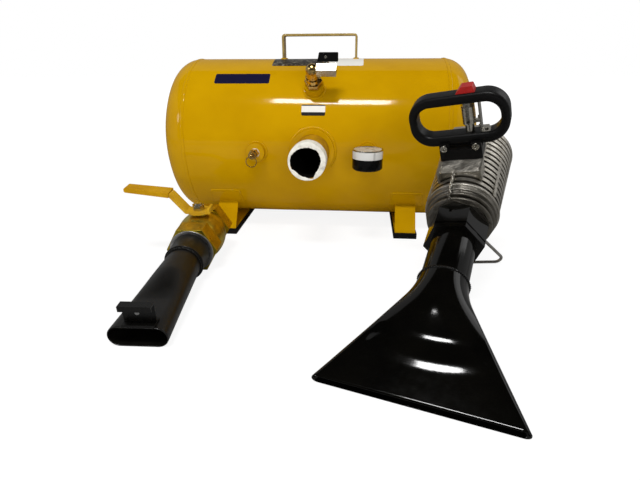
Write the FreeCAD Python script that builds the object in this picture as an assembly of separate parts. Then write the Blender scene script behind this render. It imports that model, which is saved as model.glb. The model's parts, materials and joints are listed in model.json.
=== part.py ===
import FreeCAD, Part
import math
import os

# Portable air blaster set: a yellow air tank on two feet, with two loose blast guns on the floor.
# Millimetres. Origin on the floor under the middle of the tank, X along the tank, Z up,
# and the outlet side of the tank faces -Y.

V = FreeCAD.Vector
ORIGIN = V(0, 0, 0)
AXIS_X = V(1, 0, 0)
AXIS_Y = V(0, 1, 0)
AXIS_Z = V(0, 0, 1)

# Fits shared by the whole set
seat_gap = 0.05          # radial gap of a push or screwed joint
run_gap = 0.1            # radial gap round a pin, stem or ball that turns or slides
free_gap = 0.3           # gap between pieces that only pass each other

# Tank
tank_r = 150.0
tank_wall = 3.0
tank_axis_z = tank_r + 12.0
tank_straight = 467.0
head_depth = 71.0
head_knuckle_r = 45.0

# Carry handle, a flat strap bent to a U
carry_half_span = 69.5
carry_top_z = tank_axis_z + tank_r + 44.0
carry_width = 25.0
carry_thick = 4.0
carry_bend = 6.0

# Feet, each a bent strap with two weld pads, standing in a rubber shoe
foot_x = 170.0
foot_width = 38.0
foot_thick = 3.5
foot_base_z = 8.0
foot_half_base = tank_r - 9.5
foot_top_angle = 44.3
foot_top_inset = 2.5
pad_width = 52.0
pad_thick = 2.0
pad_from = 33.0
pad_to = 46.0
shoe_rim = 2.0
shoe_height = 11.0
shoe_end = 3.5

# Two inch outlet
outlet_boss_r = 38.0
outlet_boss_front = tank_r + 8.0
nipple_r = 29.8
nipple_wall = 4.0
nipple_front = tank_r + 90.2
tape_thick = 0.5
tape_length = 25.0
tape_lip = 5.0

# Pressure gauge, its dial facing up
small_boss_r = 16.0
small_boss_front = tank_r + 13.0
shank_r = 4.9
shank_length = 11.0
gauge_x = 95.5
gauge_y = -(tank_r + 45.0)
gauge_r = 25.0
gauge_bottom_z = tank_axis_z - 16.0
gauge_case_height = 13.0
gauge_lens_height = 16.0
gauge_wall = 1.5
gauge_stem_af = 14.0
dial_thick = 0.8
needle_length = 17.0
needle_width = 1.4
needle_thick = 0.8
needle_hub_r = 2.6
needle_pin_r = 0.8

# Safety valve
safety_x = -100.0
safety_z = tank_axis_z - 2.0
safety_tape_r = 8.0
safety_tape_thick = 3.0
safety_hex_af = 14.5
safety_hex_length = 14.0
safety_barrel_r = 6.2
safety_barrel_length = 10.0
safety_bore_r = 4.2
safety_stem_r = 1.8
safety_disc_r = 3.9
safety_disc_thick = 2.0
eye_r = 3.4
eye_hole_r = 1.6
eye_reach = 4.6
pull_ring_r = 9.0
pull_wire_r = 0.8

# Air inlet: weld coupling, hex nipple, elbow and mini ball valve, square to the tank surface
inlet_angle = 42.0
inlet_boss_r = 17.0
inlet_boss_length = 14.0
inlet_thread_r = 7.9
inlet_thread_length = 8.0
inlet_bore_r = 4.5
inlet_hex_af = 27.0
inlet_hex_length = 10.0
elbow_reach = 48.6
elbow_r = 11.0
elbow_collar_r = 12.5
elbow_collar_length = 9.0
mini_start_x = 8.0
mini_length = 32.0
mini_af = 20.0
mini_thread_r = 6.6
mini_thread_length = 7.5
mini_stem_x = 23.0
mini_ball_r = 7.0
mini_stem_r = 3.0
mini_neck_r = 5.0
mini_neck_height = 3.0
wing_height = 14.5
wing_thick = 9.0
wing_back = 14.0
wing_front = 20.0
wing_slant = 3.0
wing_screw_r = 2.4

# Blank label places on the tank: start and end along X, lower and upper angle above the horizontal
label_thick = 0.3
side_label = (-182.0, -82.0, 47.0, 56.5)
top_label = (-84.0, 84.0, 67.0, 86.0)
small_label = (-20.6, 20.6, 23.1, 30.5)

# Ball valve gun: where its mouth lies, and its sizes along its own axis, measured from the mouth
gun1_x = -167.0
gun1_y = -520.0
gun1_azimuth = -2.0
barrel_r = 25.4
barrel_wall = 1.6
mouth_half_width = 36.5
mouth_half_height = 14.0
mouth_flat_length = 58.0
mouth_blend_end = 118.0
bush_front = 170.0
bush_flange_r = 29.5
bush_flange_length = 3.0
bush_r = 28.4
valve_front = 210.0
washer_r = 34.3
washer_thick = 2.0
thread_r = 29.0
thread_length = 24.0
end_af = 70.0
end_length = 30.0
ball_s = 268.0
ball_r = 30.0
ball_bore_r = 20.0
seat_outer_r = 27.0
seat_depth = 8.0
belly_r = 38.5
belly_arc_r = 90.0
spigot_r = 32.5
spigot_length = 5.0
rear_hex_af = 71.0
rear_hex_front = 288.0
rear_end = 312.0
rear_thread_length = 13.5
stem_r = 6.5
stem_boss_r = 13.0
stem_boss_top = 40.5
gland_r = 9.5
gland_length = 6.0
tang_thick = 6.0
tang_depth = 4.0
lever_plate_z = 41.0
lever_thick = 4.0
lever_width = 22.0
lever_plate_r = 17.0
lever_knee_x = -18.0
lever_rise_x = -42.0
lever_rise_z = 79.0
lever_tip_x = -112.0
lever_tip_z = 86.0
lever_stop_x = 21.0
lever_stop_height = 9.0
grip_wall = 2.0
grip_end = 6.0
lever_nut_af = 17.0
lever_nut_height = 9.0
stem_top_over_nut = 3.0
hook_left = -20.0
hook_right = 23.0
hook_thick = 3.0
hook_depth = 16.0
hook_foot_length = 24.0
hook_top_z = 45.0
hook_lip = 8.0
rivet_r = 1.6
rivet_head_r = 3.0
rivet_head = 1.5

# Trigger gun: where its lip lies, and its sizes along its own axis, measured from the lip
gun2_x = 141.4
gun2_y = -596.9
gun2_azimuth = 17.7
gun2_slope = 21.2
gun2_roll = 10.0
fan_half_width = 103.3
fan_lip_half = 6.5
fan_wall = 1.5
fan_length = 142.0
fan_round_r = 30.0
fan_collar_r = 30.4
fan_collar_length = 18.0
tube_r = 28.5
tube_wall = 2.0
tube_front = 146.0
tube_flange_r = 30.9
tube_flange_length = 6.0
nut_front = 228.0
nut_af = 67.5
nut_band = 7.0
nut_groove = 3.0
nut_groove_r = 33.2
nut_thread_r = 31.0
boss_front = nut_front + 42.0
boss_length = 15.0
boss_vertex_r = 41.0
snout_length = 14.0
casting_end = 450.0
shoulder_r = 46.0
casting_front_r = 48.5
casting_rear_r = 54.0
fin_start = 302.0
fin_count = 13
fin_pitch = 10.9
fin_width = 6.0
fin_depth = 4.6
bore_r = 40.0
bore_front = 300.0
cap_length = 12.0
cap_plug = 10.0
cap_bore_r = 20.0
spring_seat = 3.0
seat_width = 6.0
seat_thick = 4.0
piston_length = 40.0
piston_front = 10.0
piston_wall = 6.0
flute_width = 12.0
flute_depth = 7.0
spring_r = 23.7
spring_wire_r = 1.5
spring_turns = 9
pad_half_width = 26.0
pad_front = 322.0
pad_rear = 440.0
pad_top = 57.0
pad_slope = 20.0
pad_drop = 6.0
side_rib = 3.0
long_rib_angle = 28.0
long_rib_width = 5.0
block_height = 16.0
block_half_width = 28.0
ear_thick = 6.0
ear_half_width = 6.5
ear_height = 9.0
handle_front = 350.0
block_front = handle_front - ear_thick
block_rear = block_front + 32.0
handle_depth = 24.0
handle_half_width = 71.0
handle_height = 78.0
handle_corner_r = 30.0
handle_bottom = 16.0
handle_top = 15.0
handle_side = 12.0
bolt_x = 21.0
bolt_up = 4.2
bolt_r = 2.5
bolt_head_r = 4.8
bolt_head = 4.0
bolt_length = 22.0
button_x = 13.0
button_length = 29.0
button_width = 14.0
button_height = 11.0
button_slant_left = 9.0
button_slant_right = 3.0
button_travel = 4.0
button_skirt = 4.0
pocket_floor = 6.0
pin_r = 2.5
pilot_hex_af = 15.0
pilot_hex_height = 9.0
pilot_r = 8.5
pilot_length = 24.0
pilot_neck_r = 6.0
plunger_length = 22.0
plunger_groove = 5.0
bracket_x = 27.0
bracket_thick = 2.0
bracket_width = 14.0
stand_wire_r = 2.4
stand_apex_s = 333.0
stand_apex_down = 56.0
stand_apex_x = 1.0
stand_apex_half = 11.0
stand_right = (321.0, -241.0)
stand_left = (190.0, -257.0)
lug_r = 6.0
lug_half = 7.0


def unit(v):
    return v * (1.0 / v.Length)


def cyl(r, h, at, axis):
    return Part.makeCylinder(r, h, at, axis)


def ring(outer, inner, h, at, axis):
    return cyl(outer, h, at, axis).cut(cyl(inner, h + 2, at - axis, axis))


def block(x0, x1, y0, y1, z0, z1):
    return Part.makeBox(x1 - x0, y1 - y0, z1 - z0, V(x0, y0, z0))


def fused(pieces):
    whole = pieces[0].fuse(pieces[1:])
    return whole.removeSplitter()


def in_xz(y):
    return lambda a, b: V(a, y, b)


def in_yz(x):
    return lambda a, b: V(x, a, b)


def rounded_wire(points, radii, lift):
    # Closed outline through flat points, each corner rounded by its own radius.
    count = len(points)
    starts, mids, ends = [], [], []
    for i in range(count):
        corner = V(points[i][0], points[i][1], 0)
        before = unit(V(points[i - 1][0], points[i - 1][1], 0) - corner)
        after = unit(V(points[(i + 1) % count][0], points[(i + 1) % count][1], 0) - corner)
        half = before.getAngle(after) / 2
        reach = radii[i] / math.tan(half)
        centre = corner + unit(before + after) * (radii[i] / math.sin(half))
        starts.append(corner + before * reach)
        ends.append(corner + after * reach)
        mids.append(centre + unit(corner - centre) * radii[i] if radii[i] > 0 else corner)
    edges = []
    for i in range(count):
        following = (i + 1) % count
        if radii[i] > 0:
            arc = [lift(p.x, p.y) for p in (starts[i], mids[i], ends[i])]
            edges.append(Part.Arc(arc[0], arc[1], arc[2]).toShape())
        if (starts[following] - ends[i]).Length > 0.000001:
            first = lift(ends[i].x, ends[i].y)
            second = lift(starts[following].x, starts[following].y)
            edges.append(Part.makeLine(first, second))
    return Part.Wire(edges)


def plate(points, radii, lift, along):
    return Part.Face(rounded_wire(points, radii, lift)).extrude(along)


def polygon_bar(sides, corner_r, y0, y1, first_angle):
    corners = []
    for k in range(sides):
        a = math.radians(first_angle + 360.0 * k / sides)
        corners.append((corner_r * math.cos(a), corner_r * math.sin(a)))
    return plate(corners, [0] * sides, in_xz(y0), V(0, y1 - y0, 0))


def hex_bar(across_flats, y0, y1):
    return polygon_bar(6, across_flats / 2 / math.cos(math.radians(30)), y0, y1, 0)


def lathe(profile):
    # Closed profile of (place along Y, radius) points, turned about the Y axis.
    points = [V(r, s, 0) for s, r in profile]
    wire = Part.makePolygon(points + [points[0]])
    return Part.Face(wire).revolve(ORIGIN, AXIS_Y, 360)


def slot_section(y, half_straight, half_height):
    # Stadium outline in six edges, from the upper left corner clockwise.
    a, h = half_straight, half_height
    q = h * math.sqrt(0.5)
    edges = [Part.makeLine(V(-a, y, h), V(a, y, h))]
    edges.append(Part.Arc(V(a, y, h), V(a + q, y, q), V(a + h, y, 0)).toShape())
    edges.append(Part.Arc(V(a + h, y, 0), V(a + q, y, -q), V(a, y, -h)).toShape())
    edges.append(Part.makeLine(V(a, y, -h), V(-a, y, -h)))
    edges.append(Part.Arc(V(-a, y, -h), V(-a - q, y, -q), V(-a - h, y, 0)).toShape())
    edges.append(Part.Arc(V(-a - h, y, 0), V(-a - q, y, q), V(-a, y, h)).toShape())
    return Part.Wire(edges)


def round_section(y, r, split):
    # Circle in the same six edges, the flat ones becoming arcs of twice the split angle.
    marks = [90 + split, 90, 90 - split, (90 - split) / 2, 0, -(90 - split) / 2, -90 + split]
    marks += [-90, -90 - split, -90 - split - (90 - split) / 2, -180]
    marks += [-180 - (90 - split) / 2, -270 + split]
    points = [V(r * math.cos(math.radians(m)), y, r * math.sin(math.radians(m))) for m in marks]
    edges = []
    for k in range(0, len(points) - 1, 2):
        edges.append(Part.Arc(points[k], points[k + 1], points[k + 2]).toShape())
    return Part.Wire(edges)


def along_tank(r, half_length):
    return cyl(r, 2 * half_length, V(-half_length, 0, tank_axis_z), AXIS_X)


def tank_sector(r0, r1, x0, x1, low, high):
    # Curved plate on the tank, between two angles above the horizontal of the outlet side.
    a = math.radians(low)
    out = V(0, -math.cos(a), math.sin(a))
    centre = V(0, 0, tank_axis_z)
    corners = [centre + out * r0 + V(x0, 0, 0), centre + out * r1 + V(x0, 0, 0)]
    corners += [centre + out * r1 + V(x1, 0, 0), centre + out * r0 + V(x1, 0, 0)]
    face = Part.Face(Part.makePolygon(corners + [corners[0]]))
    return face.revolve(centre, V(-1, 0, 0), high - low)


def inlet_place():
    a = math.radians(inlet_angle)
    out = V(0, -math.cos(a), math.sin(a))
    base = V(0, 0, tank_axis_z) + out * tank_r
    return base, out


# Tank and what is welded to it

def tank_shell():
    shell = along_tank(tank_r, tank_straight / 2).cut(along_tank(tank_r - tank_wall, tank_straight))
    reach = tank_r + 10
    shell = shell.cut(cyl(nipple_r + seat_gap, reach, V(0, 0, tank_axis_z), V(0, -1, 0)))
    shell = shell.cut(cyl(shank_r + seat_gap, reach, V(gauge_x, 0, tank_axis_z), V(0, -1, 0)))
    shell = shell.cut(cyl(shank_r + seat_gap, reach, V(safety_x, 0, safety_z), V(0, -1, 0)))
    base, out = inlet_place()
    return shell.cut(cyl(inlet_bore_r, 2 * tank_wall + 10, base - out * (tank_wall + 8), out))


def head(side):
    # Dished head: a knuckle arc runs from the shell into a flatter crown arc.
    r, h, wide = head_knuckle_r, head_depth, tank_r - head_knuckle_r
    crown_r = (h * h - r * r + wide * wide) / (2 * (h - r))
    knuckle = V(0, wide, 0)
    crown = V(h - crown_r, 0, 0)
    lean = unit(knuckle - crown)
    place = lambda p: V(side * (tank_straight / 2 + p.x), 0, tank_axis_z + p.y)
    curves = []
    for inset in (0, tank_wall):
        start = knuckle + V(0, r - inset, 0)
        knuckle_middle = knuckle + unit(V(0, 1, 0) + lean) * (r - inset)
        join = knuckle + lean * (r - inset)
        crown_middle = crown + unit(V(1, 0, 0) + lean) * (crown_r - inset)
        end = V(h - inset, 0, 0)
        spots = [place(p) for p in (start, knuckle_middle, join, crown_middle, end)]
        arcs = [Part.Arc(spots[k], spots[k + 1], spots[k + 2]).toShape() for k in (0, 2)]
        curves.append((arcs, spots[0], spots[4]))
    outer, inner = curves
    caps = [Part.makeLine(outer[1], inner[1]), Part.makeLine(outer[2], inner[2])]
    face = Part.Face(Part.Wire(Part.__sortEdges__(outer[0] + inner[0] + caps)))
    return face.revolve(V(0, 0, tank_axis_z), AXIS_X, 360)


def carry_handle():
    x, t = carry_half_span, carry_thick
    low = tank_axis_z + tank_r - 10
    points = [(-x - t / 2, low), (-x - t / 2, carry_top_z), (x + t / 2, carry_top_z), (x + t / 2, low)]
    points += [(x - t / 2, low), (x - t / 2, carry_top_z - t), (-x + t / 2, carry_top_z - t)]
    points += [(-x + t / 2, low)]
    bend_in = carry_bend - t
    radii = [0, carry_bend, carry_bend, 0, 0, bend_in, bend_in, 0]
    strap = plate(points, radii, in_xz(-carry_width / 2), V(0, carry_width, 0))
    return strap.cut(along_tank(tank_r, tank_straight / 2))


def foot_leg(side):
    low = V(0, side * foot_half_base, foot_base_z + foot_thick / 2)
    a = math.radians(foot_top_angle)
    reach = tank_r - foot_top_inset
    high = V(0, side * reach * math.cos(a), tank_axis_z - reach * math.sin(a))
    run = unit(high - low)
    normal = V(0, -run.z, run.y) * (foot_thick / 2)
    far = high + run * 6
    corners = [low + normal, far + normal, far - normal, low - normal]
    face = Part.Face(Part.makePolygon(corners + [corners[0]]))
    return face.extrude(V(foot_width, 0, 0))


def foot(centre_x):
    bend = foot_thick / 2
    middle_z = foot_base_z + bend
    pieces = [block(0, foot_width, -foot_half_base, foot_half_base, foot_base_z, foot_base_z + foot_thick)]
    for side in (-1, 1):
        pieces.append(cyl(bend, foot_width, V(0, side * foot_half_base, middle_z), AXIS_X))
        pieces.append(foot_leg(side))
    strap = fused(pieces)
    strap.translate(V(centre_x - foot_width / 2, 0, 0))
    pad_r = tank_r + pad_thick
    half = pad_width / 2
    front = tank_sector(tank_r, pad_r, centre_x - half, centre_x + half, -pad_to, -pad_from)
    rear = tank_sector(tank_r, pad_r, centre_x - half, centre_x + half, pad_from - 180, pad_to - 180)
    strap = strap.cut(along_tank(tank_r, tank_straight / 2))
    return fused([strap, front, rear])


def shoe(centre_x):
    half = foot_width / 2 + free_gap
    end = foot_half_base + foot_thick / 2 + free_gap
    tray = block(-half - shoe_rim, half + shoe_rim, -end - shoe_end, end + shoe_end, 0, shoe_height)
    tray = tray.cut(block(-half, half, -end, end, foot_base_z, shoe_height + 1))
    tray.translate(V(centre_x, 0, 0))
    return tray


def front_boss(x, z, r, front, bore):
    start = V(x, -tank_r + 30, z)
    boss = cyl(r, front - tank_r + 30, start, V(0, -1, 0)).cut(along_tank(tank_r, tank_straight / 2))
    return boss.cut(cyl(bore, front, V(x, 0, z), V(0, -1, 0)))


def small_bosses():
    gauge = front_boss(gauge_x, tank_axis_z, small_boss_r, small_boss_front, shank_r + seat_gap)
    safety = front_boss(safety_x, safety_z, small_boss_r, small_boss_front, shank_r + seat_gap)
    return Part.makeCompound([gauge, safety])


def outlet_nipple():
    back = tank_r - tank_wall - 3
    return ring(nipple_r, nipple_r - nipple_wall, nipple_front - back, V(0, -back, tank_axis_z), V(0, -1, 0))


def outlet_tape():
    r = nipple_r + tape_thick
    start = V(0, -nipple_front + tape_length, tank_axis_z)
    tape = cyl(r, tape_length + tape_thick, start, V(0, -1, 0))
    tape = tape.cut(cyl(nipple_r, tape_length, start, V(0, -1, 0)))
    return tape.cut(cyl(nipple_r - tape_lip, tape_length + 5, start, V(0, -1, 0)))


# Pressure gauge

def gauge_stem():
    stem = hex_bar(gauge_stem_af, -small_boss_front - 12, -small_boss_front)
    stem = stem.fuse(cyl(shank_r, shank_length, V(0, -small_boss_front, 0), AXIS_Y))
    stem.translate(V(gauge_x, 0, tank_axis_z))
    column = cyl(gauge_r, 200, V(gauge_x, gauge_y, 50), AXIS_Z)
    return stem.cut(column).removeSplitter()


def gauge_case():
    top = gauge_bottom_z + gauge_case_height
    case = cyl(gauge_r, gauge_case_height, V(gauge_x, gauge_y, gauge_bottom_z), AXIS_Z)
    inner = gauge_r - gauge_wall
    case = case.cut(cyl(inner, dial_thick + 1, V(gauge_x, gauge_y, top - dial_thick - 0.7), AXIS_Z))
    return case.cut(cyl(needle_pin_r + run_gap, 6, V(gauge_x, gauge_y, top - 5), AXIS_Z))


def gauge_dial():
    low = gauge_bottom_z + gauge_case_height - dial_thick - 0.7
    dial = cyl(gauge_r - gauge_wall - seat_gap, dial_thick, V(gauge_x, gauge_y, low), AXIS_Z)
    return dial.cut(cyl(needle_pin_r + run_gap, 4, V(gauge_x, gauge_y, low - 1), AXIS_Z))


def gauge_needle():
    low = gauge_bottom_z + gauge_case_height
    centre = V(gauge_x, gauge_y, low)
    hub = cyl(needle_hub_r, needle_thick, centre, AXIS_Z)
    pin = cyl(needle_pin_r, needle_thick + 3, centre - V(0, 0, 3), AXIS_Z)
    half = needle_width / 2
    points = [(-half, 4), (-0.25, -needle_length), (0.25, -needle_length), (half, 4)]
    hand = plate(points, [0] * 4, lambda a, b: V(gauge_x + a, gauge_y + b, low), V(0, 0, needle_thick))
    hand.rotate(centre, AXIS_Z, -35)
    return fused([hub, pin, hand])


def gauge_lens():
    low = gauge_bottom_z + gauge_case_height
    lens = cyl(gauge_r, gauge_lens_height, V(gauge_x, gauge_y, low), AXIS_Z)
    inside = gauge_lens_height - gauge_wall
    return lens.cut(cyl(gauge_r - gauge_wall, inside, V(gauge_x, gauge_y, low), AXIS_Z))


# Safety valve

def safety_at(shape):
    shape.translate(V(safety_x, 0, safety_z))
    return shape


def safety_tape():
    return safety_at(ring(safety_tape_r, shank_r, safety_tape_thick, V(0, -small_boss_front, 0), V(0, -1, 0)))


def safety_valve_body():
    front = small_boss_front + safety_tape_thick
    hexagon = hex_bar(safety_hex_af, -front - safety_hex_length, -front)
    barrel_end = front + safety_hex_length + safety_barrel_length
    barrel = cyl(safety_barrel_r, safety_barrel_length + 1, V(0, -barrel_end, 0), AXIS_Y)
    shank = cyl(shank_r, safety_tape_thick + shank_length, V(0, -front, 0), AXIS_Y)
    body = fused([hexagon, barrel, shank])
    bore_start = -barrel_end + 1.5
    bore_length = safety_barrel_length + safety_hex_length - 4
    body = body.cut(cyl(safety_bore_r, bore_length, V(0, bore_start, 0), AXIS_Y))
    body = body.cut(cyl(1.5, 60, V(0, bore_start, 0), AXIS_Y))
    body = body.cut(cyl(safety_stem_r + run_gap, 5, V(0, -barrel_end - 1, 0), AXIS_Y))
    return safety_at(body)


def safety_eye_y():
    end = small_boss_front + safety_tape_thick + safety_hex_length + safety_barrel_length
    return -(end + eye_reach)


def safety_stem():
    seat = -(small_boss_front + safety_tape_thick + 2.5 + run_gap)
    disc = cyl(safety_disc_r, safety_disc_thick, V(0, seat - safety_disc_thick, 0), AXIS_Y)
    rod = cyl(safety_stem_r, seat - safety_eye_y(), V(0, safety_eye_y(), 0), AXIS_Y)
    eye = Part.makeSphere(eye_r, V(0, safety_eye_y(), 0))
    stem = fused([disc, rod, eye])
    return safety_at(stem.cut(cyl(eye_hole_r, 20, V(-10, safety_eye_y(), 0), AXIS_X)))


def pull_ring():
    centre = V(0, safety_eye_y(), -pull_ring_r)
    return safety_at(Part.makeTorus(pull_ring_r, pull_wire_r, centre, AXIS_Y))


# Air inlet

def inlet_boss():
    base, out = inlet_place()
    boss = cyl(inlet_boss_r, inlet_boss_length + 20, base - out * 20, out)
    boss = boss.cut(along_tank(tank_r, tank_straight / 2))
    return boss.cut(cyl(inlet_thread_r + seat_gap, inlet_boss_length + 25, base - out * 22, out))


def along_inlet(shape):
    # Moves a shape built along Y, from the tank surface outwards, to its place on the tank.
    base, out = inlet_place()
    turn = FreeCAD.Rotation(AXIS_X, 180 - inlet_angle)
    moved = shape.copy()
    moved.Placement = FreeCAD.Placement(base, turn).multiply(moved.Placement)
    return moved


def inlet_nipple():
    start, end = inlet_boss_length, inlet_boss_length + inlet_hex_length
    hexagon = hex_bar(inlet_hex_af, start, end)
    length = inlet_hex_length + 2 * inlet_thread_length
    threads = cyl(inlet_thread_r, length, V(0, start - inlet_thread_length, 0), AXIS_Y)
    nipple = fused([hexagon, threads])
    return along_inlet(nipple.cut(cyl(inlet_bore_r, 80, V(0, -10, 0), AXIS_Y)))


def inlet_elbow():
    start = inlet_boss_length + inlet_hex_length
    rise = cyl(elbow_r, elbow_reach - start, V(0, start, 0), AXIS_Y)
    collar = cyl(elbow_collar_r, elbow_collar_length, V(0, start, 0), AXIS_Y)
    corner = Part.makeSphere(elbow_r, V(0, elbow_reach, 0))
    side = cyl(mini_af / 2 - 1, mini_start_x, V(0, elbow_reach, 0), AXIS_X)
    tail = cyl(mini_thread_r, mini_start_x + mini_thread_length, V(0, elbow_reach, 0), AXIS_X)
    valve_side = block(mini_start_x, mini_start_x + 50, 0, 2 * elbow_reach, -50, 50)
    elbow = fused([fused([rise, collar, corner, side]).cut(valve_side), tail])
    elbow = elbow.cut(cyl(inlet_thread_r + seat_gap, inlet_thread_length + 1, V(0, start - 1, 0), AXIS_Y))
    elbow = elbow.cut(cyl(inlet_bore_r, elbow_reach - start, V(0, start, 0), AXIS_Y))
    elbow = elbow.cut(Part.makeSphere(inlet_bore_r, V(0, elbow_reach, 0)))
    return along_inlet(elbow.cut(cyl(inlet_bore_r, 60, V(0, elbow_reach, 0), AXIS_X)))


def mini_centre():
    base, out = inlet_place()
    return base + out * elbow_reach + V(mini_stem_x, 0, 0)


def inlet_valve_body():
    bar = hex_bar(mini_af, -mini_length, 0)
    bar.rotate(ORIGIN, AXIS_Z, 90)
    bar.translate(mini_centre() + V(mini_start_x - mini_stem_x, 0, 0))
    centre = mini_centre()
    neck_top = mini_af / 2 + mini_neck_height
    body = bar.fuse(cyl(mini_neck_r, neck_top, centre, AXIS_Z))
    left = centre + V(mini_start_x - mini_stem_x, 0, 0)
    right = left + V(mini_length, 0, 0)
    body = body.cut(cyl(mini_thread_r + seat_gap, mini_thread_length, left, AXIS_X))
    body = body.cut(cyl(mini_thread_r, mini_thread_length + 1, right, V(-1, 0, 0)))
    body = body.cut(cyl(inlet_bore_r, mini_length, left, AXIS_X))
    body = body.cut(Part.makeSphere(mini_ball_r + run_gap, centre))
    return body.cut(cyl(mini_stem_r + run_gap, 40, centre, AXIS_Z)).removeSplitter()


def inlet_valve_ball():
    centre = mini_centre()
    ball = Part.makeSphere(mini_ball_r, centre)
    top = mini_af / 2 + mini_neck_height + wing_height - 3
    ball = ball.fuse(cyl(mini_stem_r, top, centre, AXIS_Z))
    return ball.cut(cyl(inlet_bore_r, 40, centre - V(20, 0, 0), AXIS_X)).removeSplitter()


def inlet_valve_lever():
    low = mini_af / 2 + mini_neck_height + run_gap
    high = low + wing_height
    points = [(-wing_back, low), (-wing_back + wing_slant, high), (wing_front, high), (wing_front, low)]
    radii = [0.5, 2, 1.5, 1.5]
    wing = plate(points, radii, in_xz(-wing_thick / 2), V(0, wing_thick, 0))
    wing.translate(mini_centre())
    top = mini_af / 2 + mini_neck_height + wing_height - 3
    stem = cyl(mini_stem_r + seat_gap, top, mini_centre(), AXIS_Z)
    screw = cyl(1.5, wing_thick, mini_centre() + V(0, 0, (low + high) / 2), V(0, -1, 0))
    return wing.cut(stem).cut(screw)


def inlet_lever_screw():
    middle = mini_af / 2 + mini_neck_height + run_gap + wing_height / 2
    at = mini_centre() + V(0, -wing_thick / 2, middle)
    shank = cyl(1.4, wing_thick / 2 - mini_stem_r - 0.2, at, AXIS_Y)
    return fused([cyl(wing_screw_r, 1, at, V(0, -1, 0)), shank])


def label_plates():
    plates = []
    for x0, x1, low, high in (side_label, top_label, small_label):
        plates.append(tank_sector(tank_r, tank_r + label_thick, x0, x1, low, high))
    legs = carry_handle()
    return Part.makeCompound([sheet.cut(legs) for sheet in plates])


# Ball valve gun, built along Y from its mouth

def gun1_slope():
    # The gun rests on the lower lip of its mouth and on whichever piece behind it reaches lowest.
    rests = [(mouth_blend_end, barrel_r), (bush_front, bush_flange_r), (valve_front - washer_thick, washer_r)]
    rests += [(valve_front, end_af / 2), (ball_s, belly_r), (rear_hex_front, rear_hex_af / 2)]
    return max(math.degrees(math.atan2(r - mouth_half_height, s)) for s, r in rests)


def gun1(shape):
    slope = gun1_slope()
    turn = FreeCAD.Rotation(AXIS_Z, -gun1_azimuth).multiply(FreeCAD.Rotation(AXIS_X, slope))
    lip = V(gun1_x, gun1_y, mouth_half_height * math.cos(math.radians(slope)))
    moved = shape.copy()
    moved.Placement = FreeCAD.Placement(lip, turn).multiply(moved.Placement)
    return moved


def barrel_solid(inset):
    a = mouth_half_width - mouth_half_height
    h = mouth_half_height - inset
    flat = Part.makeLoft([slot_section(0, a, h), slot_section(mouth_flat_length, a, h)], True, True)
    start = slot_section(mouth_flat_length, a, h)
    blend = Part.makeLoft([start, round_section(mouth_blend_end, barrel_r - inset, 40)], True, True)
    end = bush_front + bush_flange_length + 20
    pipe = cyl(barrel_r - inset, end - mouth_blend_end, V(0, mouth_blend_end, 0), AXIS_Y)
    return flat.fuse([blend, pipe])


def barrel_tube():
    return gun1(barrel_solid(0).cut(barrel_solid(barrel_wall)))


def reducing_bush():
    socket = barrel_r + seat_gap
    end = bush_front + bush_flange_length + 20
    flange_end = bush_front + bush_flange_length
    face = valve_front - washer_thick
    tip = valve_front + thread_length - 2
    bore = barrel_r - barrel_wall
    profile = [(bush_front, socket), (bush_front, bush_flange_r), (flange_end, bush_flange_r)]
    profile += [(flange_end, bush_r), (face, bush_flange_r), (face, thread_r - seat_gap)]
    profile += [(tip, thread_r - seat_gap), (tip, bore), (end, bore), (end, socket)]
    return gun1(lathe(profile))


def thread_washer():
    low = valve_front - washer_thick
    return gun1(ring(washer_r, thread_r + seat_gap, washer_thick, V(0, low, 0), AXIS_Y))


def ball_valve_end():
    back = valve_front + end_length
    end = hex_bar(end_af, valve_front, back)
    end = end.fuse(cyl(spigot_r, spigot_length, V(0, back, 0), AXIS_Y))
    end = end.cut(cyl(thread_r, thread_length, V(0, valve_front, 0), AXIS_Y))
    end = end.cut(cyl(ball_bore_r, 100, V(0, valve_front, 0), AXIS_Y))
    pocket = cyl(seat_outer_r + seat_gap, 30, V(0, front_seat_s(), 0), AXIS_Y)
    return gun1(end.cut(pocket).removeSplitter())


def seat_touch():
    return math.sqrt((ball_r + run_gap) ** 2 - ball_bore_r ** 2)


def front_seat_s():
    return ball_s - seat_touch() - 2


def ball_seats():
    ball = Part.makeSphere(ball_r + run_gap, V(0, ball_s, 0))
    front = ring(seat_outer_r, ball_bore_r, seat_depth, V(0, front_seat_s(), 0), AXIS_Y).cut(ball)
    rear_start = 2 * ball_s - front_seat_s() - seat_depth
    rear = ring(seat_outer_r, ball_bore_r, seat_depth, V(0, rear_start, 0), AXIS_Y).cut(ball)
    return gun1(Part.makeCompound([front, rear]))


def belly():
    front = valve_front + end_length
    half = (rear_hex_front - front) / 2
    middle = (rear_hex_front + front) / 2
    edge_r = belly_r - belly_arc_r + math.sqrt(belly_arc_r ** 2 - half ** 2)
    arc = Part.Arc(V(edge_r, front, 0), V(belly_r, middle, 0), V(edge_r, rear_hex_front, 0)).toShape()
    corners = [V(edge_r, rear_hex_front, 0), V(0, rear_hex_front, 0), V(0, front, 0), V(edge_r, front, 0)]
    sides = Part.makePolygon(corners)
    return Part.Face(Part.Wire([arc] + sides.Edges)).revolve(ORIGIN, AXIS_Y, 360)


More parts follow.
